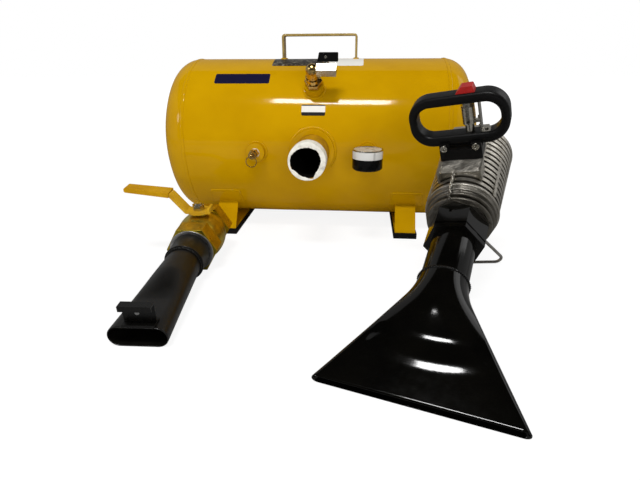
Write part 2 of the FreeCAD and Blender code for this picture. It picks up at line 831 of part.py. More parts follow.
def ball_valve_body():
    boss = cyl(stem_boss_r, stem_boss_top, V(0, ball_s, 0), AXIS_Z)
    body = fused([belly(), hex_bar(rear_hex_af, rear_hex_front, rear_end), boss])
    front = valve_front + end_length
    rear_seat_end = 2 * ball_s - front_seat_s()
    body = body.cut(cyl(spigot_r + seat_gap, spigot_length, V(0, front, 0), AXIS_Y))
    cavity_end = rear_seat_end - seat_depth + 2
    cavity = cyl(ball_r + 1, cavity_end - front, V(0, front, 0), AXIS_Y)
    body = body.cut(cavity)
    body = body.cut(cyl(seat_outer_r + seat_gap, rear_seat_end - front, V(0, front, 0), AXIS_Y))
    body = body.cut(cyl(ball_bore_r, rear_end, V(0, front, 0), AXIS_Y))
    body = body.cut(cyl(thread_r, rear_thread_length, V(0, rear_end - rear_thread_length, 0), AXIS_Y))
    body = body.cut(cyl(stem_r + run_gap, 60, V(0, ball_s, 10), AXIS_Z))
    gland_low = stem_boss_top - gland_length
    body = body.cut(cyl(gland_r + seat_gap, gland_length + 1, V(0, ball_s, gland_low), AXIS_Z))
    return gun1(body)


def valve_ball():
    ball = Part.makeSphere(ball_r, V(0, ball_s, 0))
    ball = ball.cut(cyl(ball_bore_r, 100, V(-50, ball_s, 0), AXIS_X))
    half = tang_thick / 2 + seat_gap
    low = ball_r - tang_depth - seat_gap
    slot = block(-half, half, ball_s - 20, ball_s + 20, low, ball_r + 5)
    return gun1(ball.cut(slot))


def valve_stem():
    top = lever_plate_z + lever_thick + lever_nut_height + stem_top_over_nut
    stem = cyl(stem_r, top - ball_r - 0.5, V(0, ball_s, ball_r + 0.5), AXIS_Z)
    half = tang_thick / 2
    low = ball_r - tang_depth
    tang = block(-half, half, ball_s - 5, ball_s + 5, low, ball_r + 1)
    return gun1(fused([stem, tang]))


def gland_nut():
    low = V(0, ball_s, stem_boss_top - gland_length)
    return gun1(ring(gland_r, stem_r + run_gap, gland_length, low, AXIS_Z))


def lever_outline(inset, start, finish):
    # Offset band of the cranked lever from above the stem to its tip, in the x-z plane.
    middle = lever_plate_z + lever_thick / 2
    path = [V(0, middle, 0), V(lever_knee_x, middle, 0)]
    path += [V(lever_rise_x, lever_rise_z, 0), V(lever_tip_x, lever_tip_z, 0)]
    path = path[start:finish]
    half = inset
    left, right = [], []
    for i in range(len(path)):
        before = unit(path[i] - path[i - 1]) if i > 0 else unit(path[1] - path[0])
        after = unit(path[i + 1] - path[i]) if i < len(path) - 1 else before
        turn = unit(before + after)
        normal = V(-turn.y, turn.x, 0)
        reach = half / (turn.dot(before))
        left.append(path[i] + normal * reach)
        right.append(path[i] - normal * reach)
    outline = left + right[::-1]
    return [(p.x, p.y) for p in outline]


def lever_arm():
    points = lever_outline(lever_thick / 2, 0, 4)
    radii = [0, 4, 8, 0, 0, 8, 4, 0]
    start = in_xz(ball_s - lever_width / 2)
    return plate(points, radii, start, V(0, lever_width, 0))


def ball_lever():
    arm = lever_arm()
    disc = cyl(lever_plate_r, lever_thick, V(0, ball_s, lever_plate_z), AXIS_Z)
    half = lever_width / 2
    tongue = block(0, lever_stop_x, ball_s - half, ball_s + half, lever_plate_z, lever_plate_z + lever_thick)
    stop_top = lever_plate_z + lever_stop_height
    stop_x = lever_stop_x - lever_thick
    stop = block(stop_x, lever_stop_x, ball_s - half, ball_s + half, lever_plate_z, stop_top)
    lever = fused([arm, disc, tongue, stop])
    return gun1(lever.cut(cyl(stem_r + seat_gap, 40, V(0, ball_s, 20), AXIS_Z)))


def lever_grip():
    half = lever_thick / 2
    points = lever_outline(half + grip_wall, 2, 4)
    far = unit(V(lever_tip_x - lever_rise_x, lever_tip_z - lever_rise_z, 0)) * grip_end
    points[1] = (points[1][0] + far.x, points[1][1] + far.y)
    points[2] = (points[2][0] + far.x, points[2][1] + far.y)
    width = lever_width + 2 * grip_wall
    grip = plate(points, [0, 3, 3, 0], in_xz(ball_s - width / 2), V(0, width, 0))
    return gun1(grip.cut(lever_arm()))


def lever_nut():
    low = lever_plate_z + lever_thick
    nut = hex_bar(lever_nut_af, 0, lever_nut_height)
    nut.rotate(ORIGIN, AXIS_X, 90)
    nut.translate(V(0, ball_s, low))
    return gun1(nut.cut(cyl(stem_r + seat_gap, 30, V(0, ball_s, low - 5), AXIS_Z)))


def rim_hook():
    t = hook_thick
    base = mouth_half_height
    top = hook_top_z
    points = [(0, base), (hook_foot_length, base), (hook_foot_length, base + t), (hook_depth, base + t)]
    points += [(hook_depth, top), (0, top), (0, top - hook_lip), (t, top - hook_lip)]
    points += [(t, top - t), (hook_depth - t, top - t), (hook_depth - t, base + t), (0, base + t)]
    bar = plate(points, [0] * 12, in_yz(hook_left), V(hook_right - hook_left, 0, 0))
    middle = V((hook_left + hook_right) / 2, 0, (base + top) / 2)
    return gun1(bar.cut(cyl(rivet_r + seat_gap, 100, middle, AXIS_Y)))


def hook_rivet():
    middle = V((hook_left + hook_right) / 2, hook_depth - hook_thick, (mouth_half_height + hook_top_z) / 2)
    shank = cyl(rivet_r, hook_thick, middle, AXIS_Y)
    front = cyl(rivet_head_r, rivet_head, middle, V(0, -1, 0))
    rear = cyl(rivet_head_r, rivet_head, middle + V(0, hook_thick, 0), AXIS_Y)
    return gun1(fused([shank, front, rear]))


# Trigger gun, built along Y from its lip

def gun2_lip():
    return V(gun2_x, gun2_y, fan_lip_half * math.cos(math.radians(gun2_slope)))


def gun2(shape, roll):
    turn = FreeCAD.Rotation(AXIS_Z, -gun2_azimuth).multiply(FreeCAD.Rotation(AXIS_X, gun2_slope))
    turn = turn.multiply(FreeCAD.Rotation(AXIS_Y, -roll))
    moved = shape.copy()
    moved.Placement = FreeCAD.Placement(gun2_lip(), turn).multiply(moved.Placement)
    return moved


def gun2_point(x, s, z):
    turn = FreeCAD.Rotation(AXIS_Z, -gun2_azimuth).multiply(FreeCAD.Rotation(AXIS_X, gun2_slope))
    return gun2_lip() + turn.multVec(V(x, s, z))


def fan_solid(inset):
    a = fan_half_width - fan_lip_half
    lip = slot_section(0, a, fan_lip_half - inset)
    return Part.makeLoft([lip, round_section(fan_length, fan_round_r - inset, 60)], True, True)


def fan_nozzle():
    fan = fan_solid(0).cut(fan_solid(fan_wall))
    inner = tube_r + seat_gap
    collar = ring(fan_collar_r, inner, fan_collar_length, V(0, fan_length, 0), AXIS_Y)
    return gun2(fan.fuse(collar), 0)


def nozzle_tube():
    end = boss_front - snout_length
    r, bore = tube_r, tube_r - tube_wall
    flange = end - tube_flange_length
    profile = [(tube_front, bore), (tube_front, r), (flange, r), (flange, tube_flange_r)]
    profile += [(end, tube_flange_r), (end, bore)]
    return gun2(lathe(profile), 0)


def union_nut():
    band_end = nut_front + nut_band
    groove_end = band_end + nut_groove
    flange = boss_front - snout_length - tube_flange_length
    band = hex_bar(nut_af, nut_front, band_end)
    groove = cyl(nut_groove_r, nut_groove, V(0, band_end, 0), AXIS_Y)
    body = hex_bar(nut_af, groove_end, boss_front)
    nut = fused([band, groove, body])
    nut = nut.cut(cyl(tube_r + run_gap, 100, V(0, nut_front - 1, 0), AXIS_Y))
    return gun2(nut.cut(cyl(nut_thread_r + seat_gap, 60, V(0, flange - run_gap, 0), AXIS_Y)), gun2_roll)


def fin_r(s):
    share = (s - bore_front) / (casting_end - bore_front)
    return casting_front_r + (casting_rear_r - casting_front_r) * share


def casting_profile():
    shoulder = boss_front + boss_length
    points = [(shoulder, 20), (shoulder, shoulder_r - 4), (shoulder + 4, shoulder_r)]
    points.append((fin_start - 4, fin_r(fin_start)))
    for k in range(fin_count):
        s = fin_start + k * fin_pitch
        r = fin_r(s)
        points += [(s, r), (s, r - fin_depth), (s + fin_pitch - fin_width, r - fin_depth)]
        points.append((s + fin_pitch - fin_width, r))
    points += [(casting_end - 5, casting_rear_r), (casting_end, casting_rear_r - 6), (casting_end, 20)]
    return points


def mounting_pad():
    # Raised pad on top of the casting, with a low rib along each side, sloping down at its front.
    slope_end = pad_front + pad_slope
    points = [(pad_front, bore_r - 10), (pad_front, pad_top - pad_drop), (slope_end, pad_top)]
    points += [(pad_rear, pad_top), (pad_rear, bore_r - 10)]
    pad = plate(points, [0] * 5, in_yz(-pad_half_width), V(2 * pad_half_width, 0, 0))
    ribs = []
    for side in (-1, 1):
        x0 = side * (pad_half_width + side_rib / 2) - side_rib / 2
        rib_front = block_front - run_gap
        ribs.append(block(x0, x0 + side_rib, pad_front - 8, rib_front, 34, pad_top))
    return [pad] + ribs


def long_ribs():
    ribs = []
    for angle in (long_rib_angle, 180 - long_rib_angle):
        half = long_rib_width / 2
        rib = block(bore_r + 1, casting_front_r + 2, fin_start, pad_rear, -half, half)
        rib.rotate(ORIGIN, AXIS_Y, -angle)
        ribs.append(rib)
    return ribs


def stand_axis():
    right = V(stand_right[0], stand_right[1], 0)
    left = V(stand_left[0], stand_left[1], 0)
    return unit(right - left)


def stand_apex():
    return gun2_point(stand_apex_x, stand_apex_s, -stand_apex_down)


def stand_lug():
    along = stand_axis()
    barrel = cyl(lug_r, 2 * lug_half, stand_apex() - along * lug_half, along)
    x, s = stand_apex_x, stand_apex_s
    web = block(x - 5, x + 5, s - 5, s + 5, -stand_apex_down, -bore_r - 2)
    return barrel.fuse(gun2(web, 0))


def gun_housing():
    boss = polygon_bar(8, boss_vertex_r, boss_front, boss_front + boss_length, 90)
    snout = cyl(nut_thread_r - seat_gap, snout_length + 1, V(0, boss_front - snout_length, 0), AXIS_Y)
    body = fused([lathe(casting_profile()), boss, snout] + mounting_pad() + long_ribs())
    body = gun2(body, gun2_roll).fuse(stand_lug()).removeSplitter()
    flow = cyl(tube_r - tube_wall, 100, V(0, boss_front - snout_length - 1, 0), AXIS_Y)
    bore = cyl(bore_r, casting_end, V(0, bore_front, 0), AXIS_Y)
    body = body.cut(gun2(flow, 0)).cut(gun2(bore, 0))
    along = stand_axis()
    hole = cyl(stand_wire_r + free_gap, 2 * lug_half + 4, stand_apex() - along * (lug_half + 2), along)
    return body.cut(hole)


def rear_port_bush():
    front = casting_end - cap_plug
    end = casting_end + cap_length
    cap = cyl(bore_r - seat_gap, end - front, V(0, front, 0), AXIS_Y)
    cap = cap.cut(cyl(thread_r, end - front, V(0, front + spring_seat, 0), AXIS_Y))
    return gun2(cap.cut(cyl(cap_bore_r, end - front, V(0, front, 0), AXIS_Y)), gun2_roll)


def seat_ring():
    flow = tube_r - tube_wall
    return gun2(ring(flow + seat_width, flow, seat_thick, V(0, bore_front, 0), AXIS_Y), gun2_roll)


def piston_start():
    return bore_front + seat_thick + run_gap


def piston():
    start = piston_start()
    end = start + piston_length
    body = cyl(bore_r - run_gap / 2, piston_length, V(0, start, 0), AXIS_Y)
    hollow = bore_r - flute_depth - piston_wall
    body = body.cut(cyl(hollow, piston_length, V(0, start + piston_front, 0), AXIS_Y))
    half = flute_width / 2
    for angle in (45, 135, 225, 315):
        flute = block(bore_r - flute_depth, bore_r + 5, start - 1, end + 1, -half, half)
        flute.rotate(ORIGIN, AXIS_Y, angle)
        body = body.cut(flute)
    return gun2(body, gun2_roll)


def piston_spring():
    start = piston_start() + piston_front + spring_wire_r + run_gap
    length = casting_end - cap_plug - start - spring_wire_r
    helix = Part.makeHelix(length / spring_turns, length, spring_r)
    profile = Part.Wire(Part.makeCircle(spring_wire_r, V(spring_r, 0, 0), AXIS_Y))
    coil = Part.Wire(helix).makePipeShell([profile], True, True)
    coil.rotate(ORIGIN, AXIS_X, -90)
    coil.translate(V(0, start, 0))
    return gun2(coil, gun2_roll)


def block_bottom():
    return pad_top


def handle_z():
    return pad_top + block_height


def bolt_places():
    return [V(side * bolt_x, handle_front, handle_z() + bolt_up) for side in (-1, 1)]


def handle_block():
    low, high = block_bottom(), handle_z()
    body = block(-block_half_width, block_half_width, block_front, block_rear, low, high)
    pieces = [body]
    for at in bolt_places():
        x0, x1 = at.x - ear_half_width, at.x + ear_half_width
        ear_front = handle_front - ear_thick
        pieces.append(block(x0, x1, ear_front, handle_front, low, high + ear_height))
    body = fused(pieces)
    for at in bolt_places():
        body = body.cut(cyl(bolt_r + seat_gap, 20, at - V(0, 15, 0), AXIS_Y))
    return gun2(body, gun2_roll)


def handle_outline(inset_side, inset_top, inset_bottom, corner):
    low, high = handle_z() + inset_bottom, handle_z() + handle_height - inset_top
    x = handle_half_width - inset_side
    return rounded_wire([(-x, low), (-x, high), (x, high), (x, low)], [corner] * 4, in_xz(handle_front))


def d_handle():
    outer = Part.Face(handle_outline(0, 0, 0, handle_corner_r)).extrude(V(0, handle_depth, 0))
    inner_corner = handle_corner_r - handle_side
    wire = handle_outline(handle_side, handle_top, handle_bottom, inner_corner)
    handle = outer.cut(Part.Face(wire).extrude(V(0, handle_depth, 0)))
    for at in bolt_places():
        handle = handle.cut(cyl(bolt_r + seat_gap, bolt_length, at - V(0, 2, 0), AXIS_Y))
    top = handle_z() + handle_height
    middle = handle_front + handle_depth / 2
    half_x = button_length / 2 + free_gap
    half_y = button_width / 2 + free_gap
    floor = top - handle_top + pocket_floor
    pocket = block(button_x - half_x, button_x + half_x, middle - half_y, middle + half_y, floor, top + 5)
    handle = handle.cut(pocket)
    return gun2(handle.cut(cyl(pin_r + run_gap, 20, V(button_x, middle, floor - 10), AXIS_Z)), gun2_roll)


def handle_bolts():
    bolts = []
    for at in bolt_places():
        face = at - V(0, ear_thick, 0)
        head_shape = cyl(bolt_head_r, bolt_head, face, V(0, -1, 0))
        head_shape = head_shape.cut(cyl(2.3, 2.5, face - V(0, bolt_head, 0), AXIS_Y))
        bolts.append(fused([head_shape, cyl(bolt_r, bolt_length - 1 + 3, face, AXIS_Y)]))
    return gun2(Part.makeCompound(bolts), gun2_roll)


def trigger_button():
    top = handle_z() + handle_height
    middle = handle_front + handle_depth / 2
    x0, x1 = button_x - button_length / 2, button_x + button_length / 2
    low = top - button_skirt
    points = [(x0, low), (x0, top), (x0 + button_slant_left, top + button_height)]
    points += [(x1 - button_slant_right, top + button_height), (x1, top), (x1, low)]
    cap = plate(points, [0, 1, 4, 2, 1, 0], in_xz(middle - button_width / 2), V(0, button_width, 0))
    bar_low = top - handle_top
    pin = cyl(pin_r, low - bar_low + 2, V(button_x, middle, bar_low - 2), AXIS_Z)
    return gun2(fused([cap, pin]), gun2_roll)


def pilot_body():
    bar_low = handle_z() + handle_height - handle_top
    opening_low = handle_z() + handle_bottom
    middle = handle_front + handle_depth / 2
    hexagon = hex_bar(pilot_hex_af, 0, pilot_hex_height)
    hexagon.rotate(ORIGIN, AXIS_X, 90)
    hexagon.translate(V(button_x, middle, bar_low - pilot_hex_height))
    low = bar_low - pilot_hex_height - pilot_length
    barrel = cyl(pilot_r, pilot_length, V(button_x, middle, low), AXIS_Z)
    neck = cyl(pilot_neck_r, low - opening_low, V(button_x, middle, opening_low), AXIS_Z)
    body = fused([hexagon, barrel, neck])
    depth = plunger_length + button_travel + 3
    body = body.cut(cyl(pin_r + run_gap, depth, V(button_x, middle, bar_low - depth), AXIS_Z))
    half = plunger_groove / 2
    y0, y1 = middle - pilot_r - 1, middle - pin_r - 2.5
    groove = block(button_x - half, button_x + half, y0, y1, low + 2, low + pilot_length)
    return gun2(body.cut(groove), gun2_roll)


def pilot_plunger():
    bar_low = handle_z() + handle_height - handle_top
    middle = handle_front + handle_depth / 2
    top = bar_low - 2 - seat_gap
    return gun2(cyl(pin_r, plunger_length, V(button_x, middle, top - plunger_length), AXIS_Z), gun2_roll)


def pilot_bracket():
    bar_low = handle_z() + handle_height - handle_top
    opening_low = handle_z() + handle_bottom
    middle = handle_front + handle_depth / 2
    y0, y1 = middle - bracket_width / 2, middle + bracket_width / 2
    x0, x1 = bracket_x, bracket_x + bracket_thick
    wall = block(x0, x1, y0, y1, opening_low, bar_low)
    foot_plate = block(x0, x1 + 10, y0, y1, opening_low, opening_low + bracket_thick)
    arm_low = opening_low + 14
    arm = block(button_x, x1, middle - 3, middle + 3, arm_low, arm_low + 4)
    arm = arm.cut(cyl(pilot_neck_r + seat_gap, 100, V(button_x, middle, opening_low), AXIS_Z))
    barrel_low = bar_low - pilot_hex_height - pilot_length
    arm = arm.cut(cyl(pilot_r + seat_gap, 100, V(button_x, middle, barrel_low), AXIS_Z))
    return gun2(fused([wall, foot_plate, arm]), gun2_roll)


def bracket_screws():
    opening_low = handle_z() + handle_bottom
    middle = handle_front + handle_depth / 2
    x0 = bracket_x
    screws = []
    for up in (9, 22):
        screws.append(cyl(2.4, 2, V(x0, middle - 3, opening_low + up), V(-1, 0, 0)))
    foot_top = opening_low + bracket_thick
    screws.append(cyl(2.4, 2, V(x0 + bracket_thick + 5, middle, foot_top), AXIS_Z))
    return gun2(Part.makeCompound(screws), gun2_roll)


def wire_stand():
    along = stand_axis()
    apex = stand_apex()
    corners = [apex - along * stand_apex_half, apex + along * stand_apex_half]
    corners.append(V(stand_right[0], stand_right[1], stand_wire_r))
    corners.append(V(stand_left[0], stand_left[1], stand_wire_r))
    pieces = []
    for i in range(4):
        start, end = corners[i], corners[(i + 1) % 4]
        pieces.append(cyl(stand_wire_r, (end - start).Length, start, unit(end - start)))
        pieces.append(Part.makeSphere(stand_wire_r, start))
    return fused(pieces)


PIECES = {
    "tank_shell": tank_shell,
    "left_head": lambda: head(-1),
    "right_head": lambda: head(1),
    "carry_handle": carry_handle,
    "left_foot": lambda: foot(-foot_x),
    "right_foot": lambda: foot(foot_x),
    "left_shoe": lambda: shoe(-foot_x),
    "right_shoe": lambda: shoe(foot_x),
    "outlet_boss": lambda: front_boss(0, tank_axis_z, outlet_boss_r, outlet_boss_front, nipple_r + seat_gap),
    "outlet_nipple": outlet_nipple,
    "outlet_tape": outlet_tape,
    "small_bosses": small_bosses,
    "gauge_stem": gauge_stem,
    "gauge_case": gauge_case,
    "gauge_dial": gauge_dial,
    "gauge_needle": gauge_needle,
    "gauge_lens": gauge_lens,
    "safety_tape": safety_tape,
    "safety_valve_body": safety_valve_body,
    "safety_stem": safety_stem,
    "pull_ring": pull_ring,
    "inlet_boss": inlet_boss,
    "inlet_nipple": inlet_nipple,
    "inlet_elbow": inlet_elbow,
    "inlet_valve_body": inlet_valve_body,
    "inlet_valve_ball": inlet_valve_ball,
    "inlet_valve_lever": inlet_valve_lever,
    "inlet_lever_screw": inlet_lever_screw,
    "label_plates": label_plates,
    "barrel_tube": barrel_tube,
    "reducing_bush": reducing_bush,
    "thread_washer": thread_washer,
    "ball_valve_end": ball_valve_end,
    "ball_seats": ball_seats,
    "ball_valve_body": ball_valve_body,
    "valve_ball": valve_ball,
    "valve_stem": valve_stem,
    "gland_nut": gland_nut,
    "ball_lever": ball_lever,
    "lever_grip": lever_grip,
    "lever_nut": lever_nut,
    "rim_hook": rim_hook,
    "hook_rivet": hook_rivet,
    "fan_nozzle": fan_nozzle,
    "nozzle_tube": nozzle_tube,
    "union_nut": union_nut,
    "gun_housing": gun_housing,
    "rear_port_bush": rear_port_bush,
    "seat_ring": seat_ring,
    "piston": piston,
    "piston_spring": piston_spring,
    "handle_block": handle_block,
    "d_handle": d_handle,
    "handle_bolts": handle_bolts,
    "trigger_button": trigger_button,
    "pilot_body": pilot_body,
    "pilot_plunger": pilot_plunger,
    "pilot_bracket": pilot_bracket,
    "bracket_screws": bracket_screws,
    "wire_stand": wire_stand,
}

os.makedirs("parts", exist_ok=True)
for name, make in PIECES.items():
    shape = make()
    shape.exportStep("parts/" + name + ".step")
    print(name, "solids", len(shape.Solids), "volume", round(shape.Volume), "valid", shape.isValid())
print("ball valve gun slope", round(gun1_slope(), 3))
print("stand apex", stand_apex())
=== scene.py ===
import json
import math

import bmesh
import bpy
import numpy as np
from mathutils import Matrix, Vector

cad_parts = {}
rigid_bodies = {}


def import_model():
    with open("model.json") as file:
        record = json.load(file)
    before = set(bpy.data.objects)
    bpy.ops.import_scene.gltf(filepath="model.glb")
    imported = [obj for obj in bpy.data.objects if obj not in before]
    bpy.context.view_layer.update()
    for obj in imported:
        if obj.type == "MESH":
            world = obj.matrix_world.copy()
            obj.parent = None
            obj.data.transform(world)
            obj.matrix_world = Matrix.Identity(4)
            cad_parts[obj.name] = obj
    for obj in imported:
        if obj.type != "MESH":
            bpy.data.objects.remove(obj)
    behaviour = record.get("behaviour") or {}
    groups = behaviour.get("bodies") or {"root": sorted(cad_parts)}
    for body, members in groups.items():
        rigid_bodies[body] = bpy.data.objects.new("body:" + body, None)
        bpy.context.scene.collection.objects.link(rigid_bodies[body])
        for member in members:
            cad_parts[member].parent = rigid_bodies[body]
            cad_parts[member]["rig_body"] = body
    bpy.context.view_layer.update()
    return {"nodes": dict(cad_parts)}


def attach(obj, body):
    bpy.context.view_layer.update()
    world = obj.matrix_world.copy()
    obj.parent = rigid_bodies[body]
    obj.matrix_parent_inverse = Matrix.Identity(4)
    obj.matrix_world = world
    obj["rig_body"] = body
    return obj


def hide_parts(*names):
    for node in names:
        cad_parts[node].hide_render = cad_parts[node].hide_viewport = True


# Portable air blaster: yellow air tank with its fittings, and two loose blast guns on the floor.
# Shapes are written in millimetres and turned into metres when a mesh is made.

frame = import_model()
nodes = frame["nodes"]
mm = 0.001
print("frame loaded with", len(nodes), "nodes")


# Where things are

def turnAbout(axis, degrees):
    # Right-handed turn about one axis.
    c, s = math.cos(math.radians(degrees)), math.sin(math.radians(degrees))
    rows = {
        "x": [[1, 0, 0], [0, c, -s], [0, s, c]],
        "y": [[c, 0, s], [0, 1, 0], [-s, 0, c]],
        "z": [[c, -s, 0], [s, c, 0], [0, 0, 1]],
    }
    return np.array(rows[axis], float)


tank = {"radius": 150.0, "axisZ": 162.0, "halfStraight": 233.5, "knuckle": 45.0, "headDepth": 71.0}

gunOneTurn = turnAbout("z", 2.0) @ turnAbout("x", 5.711)
gunOneLip = np.array([-167.0, -520.0, 14.0 * math.cos(math.radians(5.711))])
gunTwoTurn = turnAbout("z", -17.7) @ turnAbout("x", 21.2)
gunTwoRolled = gunTwoTurn @ turnAbout("y", -10.0)
gunTwoLip = np.array([141.4, -596.9, 6.5 * math.cos(math.radians(21.2))])


def placed(points, turn, lip):
    # Each point times the turn, plus the lip's place.
    return points @ turn.T + lip


# Mesh helpers

def gridFaces(rows, cols, closeRows=False, closeCols=False):
    # Quad (r, c) joins grid points (r, c), (r, c+1), (r+1, c+1), (r+1, c); a closed side wraps to the start.
    r, c = np.meshgrid(
        np.arange(rows if closeRows else rows - 1), np.arange(cols if closeCols else cols - 1), indexing="ij"
    )
    r2, c2 = (r + 1) % rows, (c + 1) % cols
    return np.stack([r * cols + c, r * cols + c2, r2 * cols + c2, r2 * cols + c], -1).reshape(-1, 4)


def linked(name, data):
    # A new object for the data, put in the scene.
    obj = bpy.data.objects.new(name, data)
    bpy.context.scene.collection.objects.link(obj)
    return obj


def finishObject(obj, material, body, stands):
    # The piece's one material, its body and the nodes that it stands for.
    obj.data.materials.clear()
    obj.data.materials.append(material)
    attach(obj, body)
    if stands:
        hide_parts(*stands)
    return obj


def tidyMesh(mesh, merge, sharp, flatten=False):
    # Near points become one, thin faces go, normals point out, and edges over the sharp angle stay crisp.
    work = bmesh.new()
    work.from_mesh(mesh)
    bmesh.ops.remove_doubles(work, verts=work.verts, dist=merge)
    bmesh.ops.dissolve_degenerate(work, edges=work.edges, dist=merge)
    if flatten:
        bmesh.ops.dissolve_limit(
            work, angle_limit=math.radians(0.5), verts=work.verts, edges=work.edges, use_dissolve_boundaries=False
        )
    bmesh.ops.recalc_face_normals(work, faces=work.faces)
    work.to_mesh(mesh)
    work.free()
    for layer in [a for a in mesh.attributes if a.name == "custom_normal"]:
        mesh.attributes.remove(layer)
    mesh.shade_smooth()
    mesh.set_sharp_from_angle(angle=math.radians(sharp))
    mesh.update()


def newPiece(name, points, faces, material, body, slotName=None, stands=(), sharp=40):
    # Whole arrays of points (mm) and quads go into a fresh mesh.
    points, faces = np.asarray(points, float).reshape(-1, 3), np.asarray(faces, int)
    mesh = bpy.data.meshes.new(name)
    mesh.vertices.add(len(points))
    mesh.vertices.foreach_set("co", (points * mm).astype(np.float32).ravel())
    mesh.loops.add(faces.size)
    mesh.loops.foreach_set("vertex_index", faces.astype(np.int32).ravel())
    mesh.polygons.add(len(faces))
    mesh.polygons.foreach_set("loop_start", np.arange(0, faces.size, faces.shape[1], dtype=np.int32))
    mesh.update(calc_edges=True)
    mesh.validate()
    tidyMesh(mesh, 2e-6, sharp)
    return finishObject(linked(name, mesh), material, body, stands)


def dressedCopy(name, node, material, slotName, edge, segments=2, sharp=32, limit=32):
    # The CAD node's mesh, merged and with softened edges, stands for the node.
    mesh = nodes[node].data.copy()
    mesh.name = name
    tidyMesh(mesh, 3e-6, sharp, True)
    obj = linked(name, mesh)
    if edge > 0:
        soft = obj.modifiers.new("softEdge", "BEVEL")
        soft.width = edge * mm
        soft.segments = segments
        soft.limit_method = "ANGLE"
        soft.angle_limit = math.radians(limit)
        soft.harden_normals = True
    return finishObject(obj, material, nodes[node]["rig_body"], [node])


def reshaped(obj, place, change):
    # The piece's points in the item's own frame (the turn undone), changed, and put back in place.
    turn, lip = place
    flat = np.empty(len(obj.data.vertices) * 3, np.float32)
    obj.data.vertices.foreach_get("co", flat)
    own = (flat.reshape(-1, 3) / mm - lip) @ turn
    obj.data.vertices.foreach_set("co", (placed(change(own), turn, lip) * mm).astype(np.float32).ravel())
    obj.data.update()
    return obj


def roundedCorners(points, radii, steps):
    # Closed outline: each corner gives way to an arc of its own radius, through equal steps of its chord.
    points = [np.array(p, float) for p in points]
    out = []
    for i, p in enumerate(points):
        r = radii[i]
        if r <= 0:
            out.append(p[None])
            continue
        a = points[i - 1] - p
        b = points[(i + 1) % len(points)] - p
        a, b = a / np.linalg.norm(a), b / np.linalg.norm(b)
        half = math.acos(np.clip(a @ b, -1, 1)) / 2
        centre = p + (a + b) / np.linalg.norm(a + b) * (r / math.sin(half))
        start, end = p + a * (r / math.tan(half)) - centre, p + b * (r / math.tan(half)) - centre
        t = np.linspace(0, 1, steps)[:, None]
        arc = start * (1 - t) + end * t
        out.append(centre + arc / np.linalg.norm(arc, axis=1, keepdims=True) * r)
    return np.concatenate(out)


def turnedGrid(profile, count):
    # Profile points (place along Y, radius) turned about the Y axis: x = radius cos, z = radius sin.
    a = np.linspace(0, 2 * math.pi, count, endpoint=False)
    s, r = profile[:, 0][:, None], profile[:, 1][:, None]
    return np.stack([r * np.cos(a), s + 0 * a, r * np.sin(a)], -1)


def turnedPiece(name, profile, radii, place, material, body, slotName, stands, count):
    # A closed profile with rounded corners, turned about the item's own axis and put in its place.
    outline = roundedCorners(profile, radii, 4)
    grid = turnedGrid(outline, count)
    points = placed(grid.reshape(-1, 3), *place)
    return newPiece(name, points, gridFaces(len(outline), count, True, True), material, body, slotName, stands, 50)


def unit(v):
    # Each row of the array over its own length.
    return v / np.linalg.norm(v, axis=-1, keepdims=True)


def tubePath(path, radius, sides, up):
    # Circle of the given radius, carried along the closed path on its tangent's own side and up directions.
    tangent = unit(np.roll(path, -1, 0) - np.roll(path, 1, 0))
    side = unit(np.cross(tangent, up))
    rise = np.cross(side, tangent)
    a = np.linspace(0, 2 * math.pi, sides, endpoint=False)
    ring = side[:, None, :] * np.cos(a)[None, :, None] + rise[:, None, :] * np.sin(a)[None, :, None]
    return path[:, None, :] + ring * radius


def weldBead(name, path, width, height, normals, material, body, closed=True, ripple=0.14, pitch=3.0,
             slotName="yellow_paint"):
    # Half-round bead: width across the seam, height along the surface normal, with scale marks as small waves.
    path, sides = np.asarray(path, float), 12
    steps = np.linalg.norm(np.diff(path, axis=0, append=path[:1] if closed else path[-1:]), axis=1)
    run = np.concatenate([[0], np.cumsum(steps)[:-1]])
    wave = 1 + ripple * np.sin(2 * math.pi * run / pitch) + 0.08 * np.sin(run * 0.37 + 1.0)
    if closed:
        tangent = np.roll(path, -1, 0) - np.roll(path, 1, 0)
    else:
        tangent = np.gradient(path, axis=0)
        wave *= np.clip(np.minimum(run, run[-1] - run) / 2.0, 0.15, 1)
    side = unit(np.cross(unit(tangent), normals))
    a = np.linspace(0, 2 * math.pi, sides, endpoint=False)
    across = side[:, None, :] * (np.cos(a) * width / 2)[None, :, None]
    upwards = normals[:, None, :] * (np.sin(a) * height)[None, :, None]
    points = path[:, None, :] + (across + upwards) * wave[:, None, None]
    faces = gridFaces(len(path), sides, closed, True)
    if not closed:
        # Each open end is a fan about its middle.
        first, last = len(path) * sides, (len(path) - 1) * sides
        points = np.concatenate([points.reshape(-1, 3), path[:1], path[-1:]])
        ends = [[first, (k + 1) % sides, k, k] for k in range(sides)]
        ends += [[first + 1, last + k, last + (k + 1) % sides, last + (k + 1) % sides] for k in range(sides)]
        faces = np.concatenate([faces, np.array(ends)])
    return newPiece(name, points, faces, material, body, slotName, sharp=80)


# Materials

def blankMaterial(name):
    # A new node material, its tree and its shader.
    material = bpy.data.materials.new(name)
    material.use_nodes = True
    return material, material.node_tree, material.node_tree.nodes["Principled BSDF"]


def setInputs(tree, node, values):
    # Each named input takes a link or a plain value.
    for name, value in values.items():
        if isinstance(value, bpy.types.NodeSocket):
            tree.links.new(value, node.inputs[name])
        else:
            node.inputs[name].default_value = value


def nodeOf(tree, kind, *values, operation=None):
    # A node of the kind, its inputs taken in order; gives its first output, or the number of a LENGTH.
    node = tree.nodes.new("ShaderNode" + kind)
    if operation:
        node.operation = operation
    setInputs(tree, node, dict(enumerate(values)))
    return node.outputs["Value" if operation == "LENGTH" else 0]


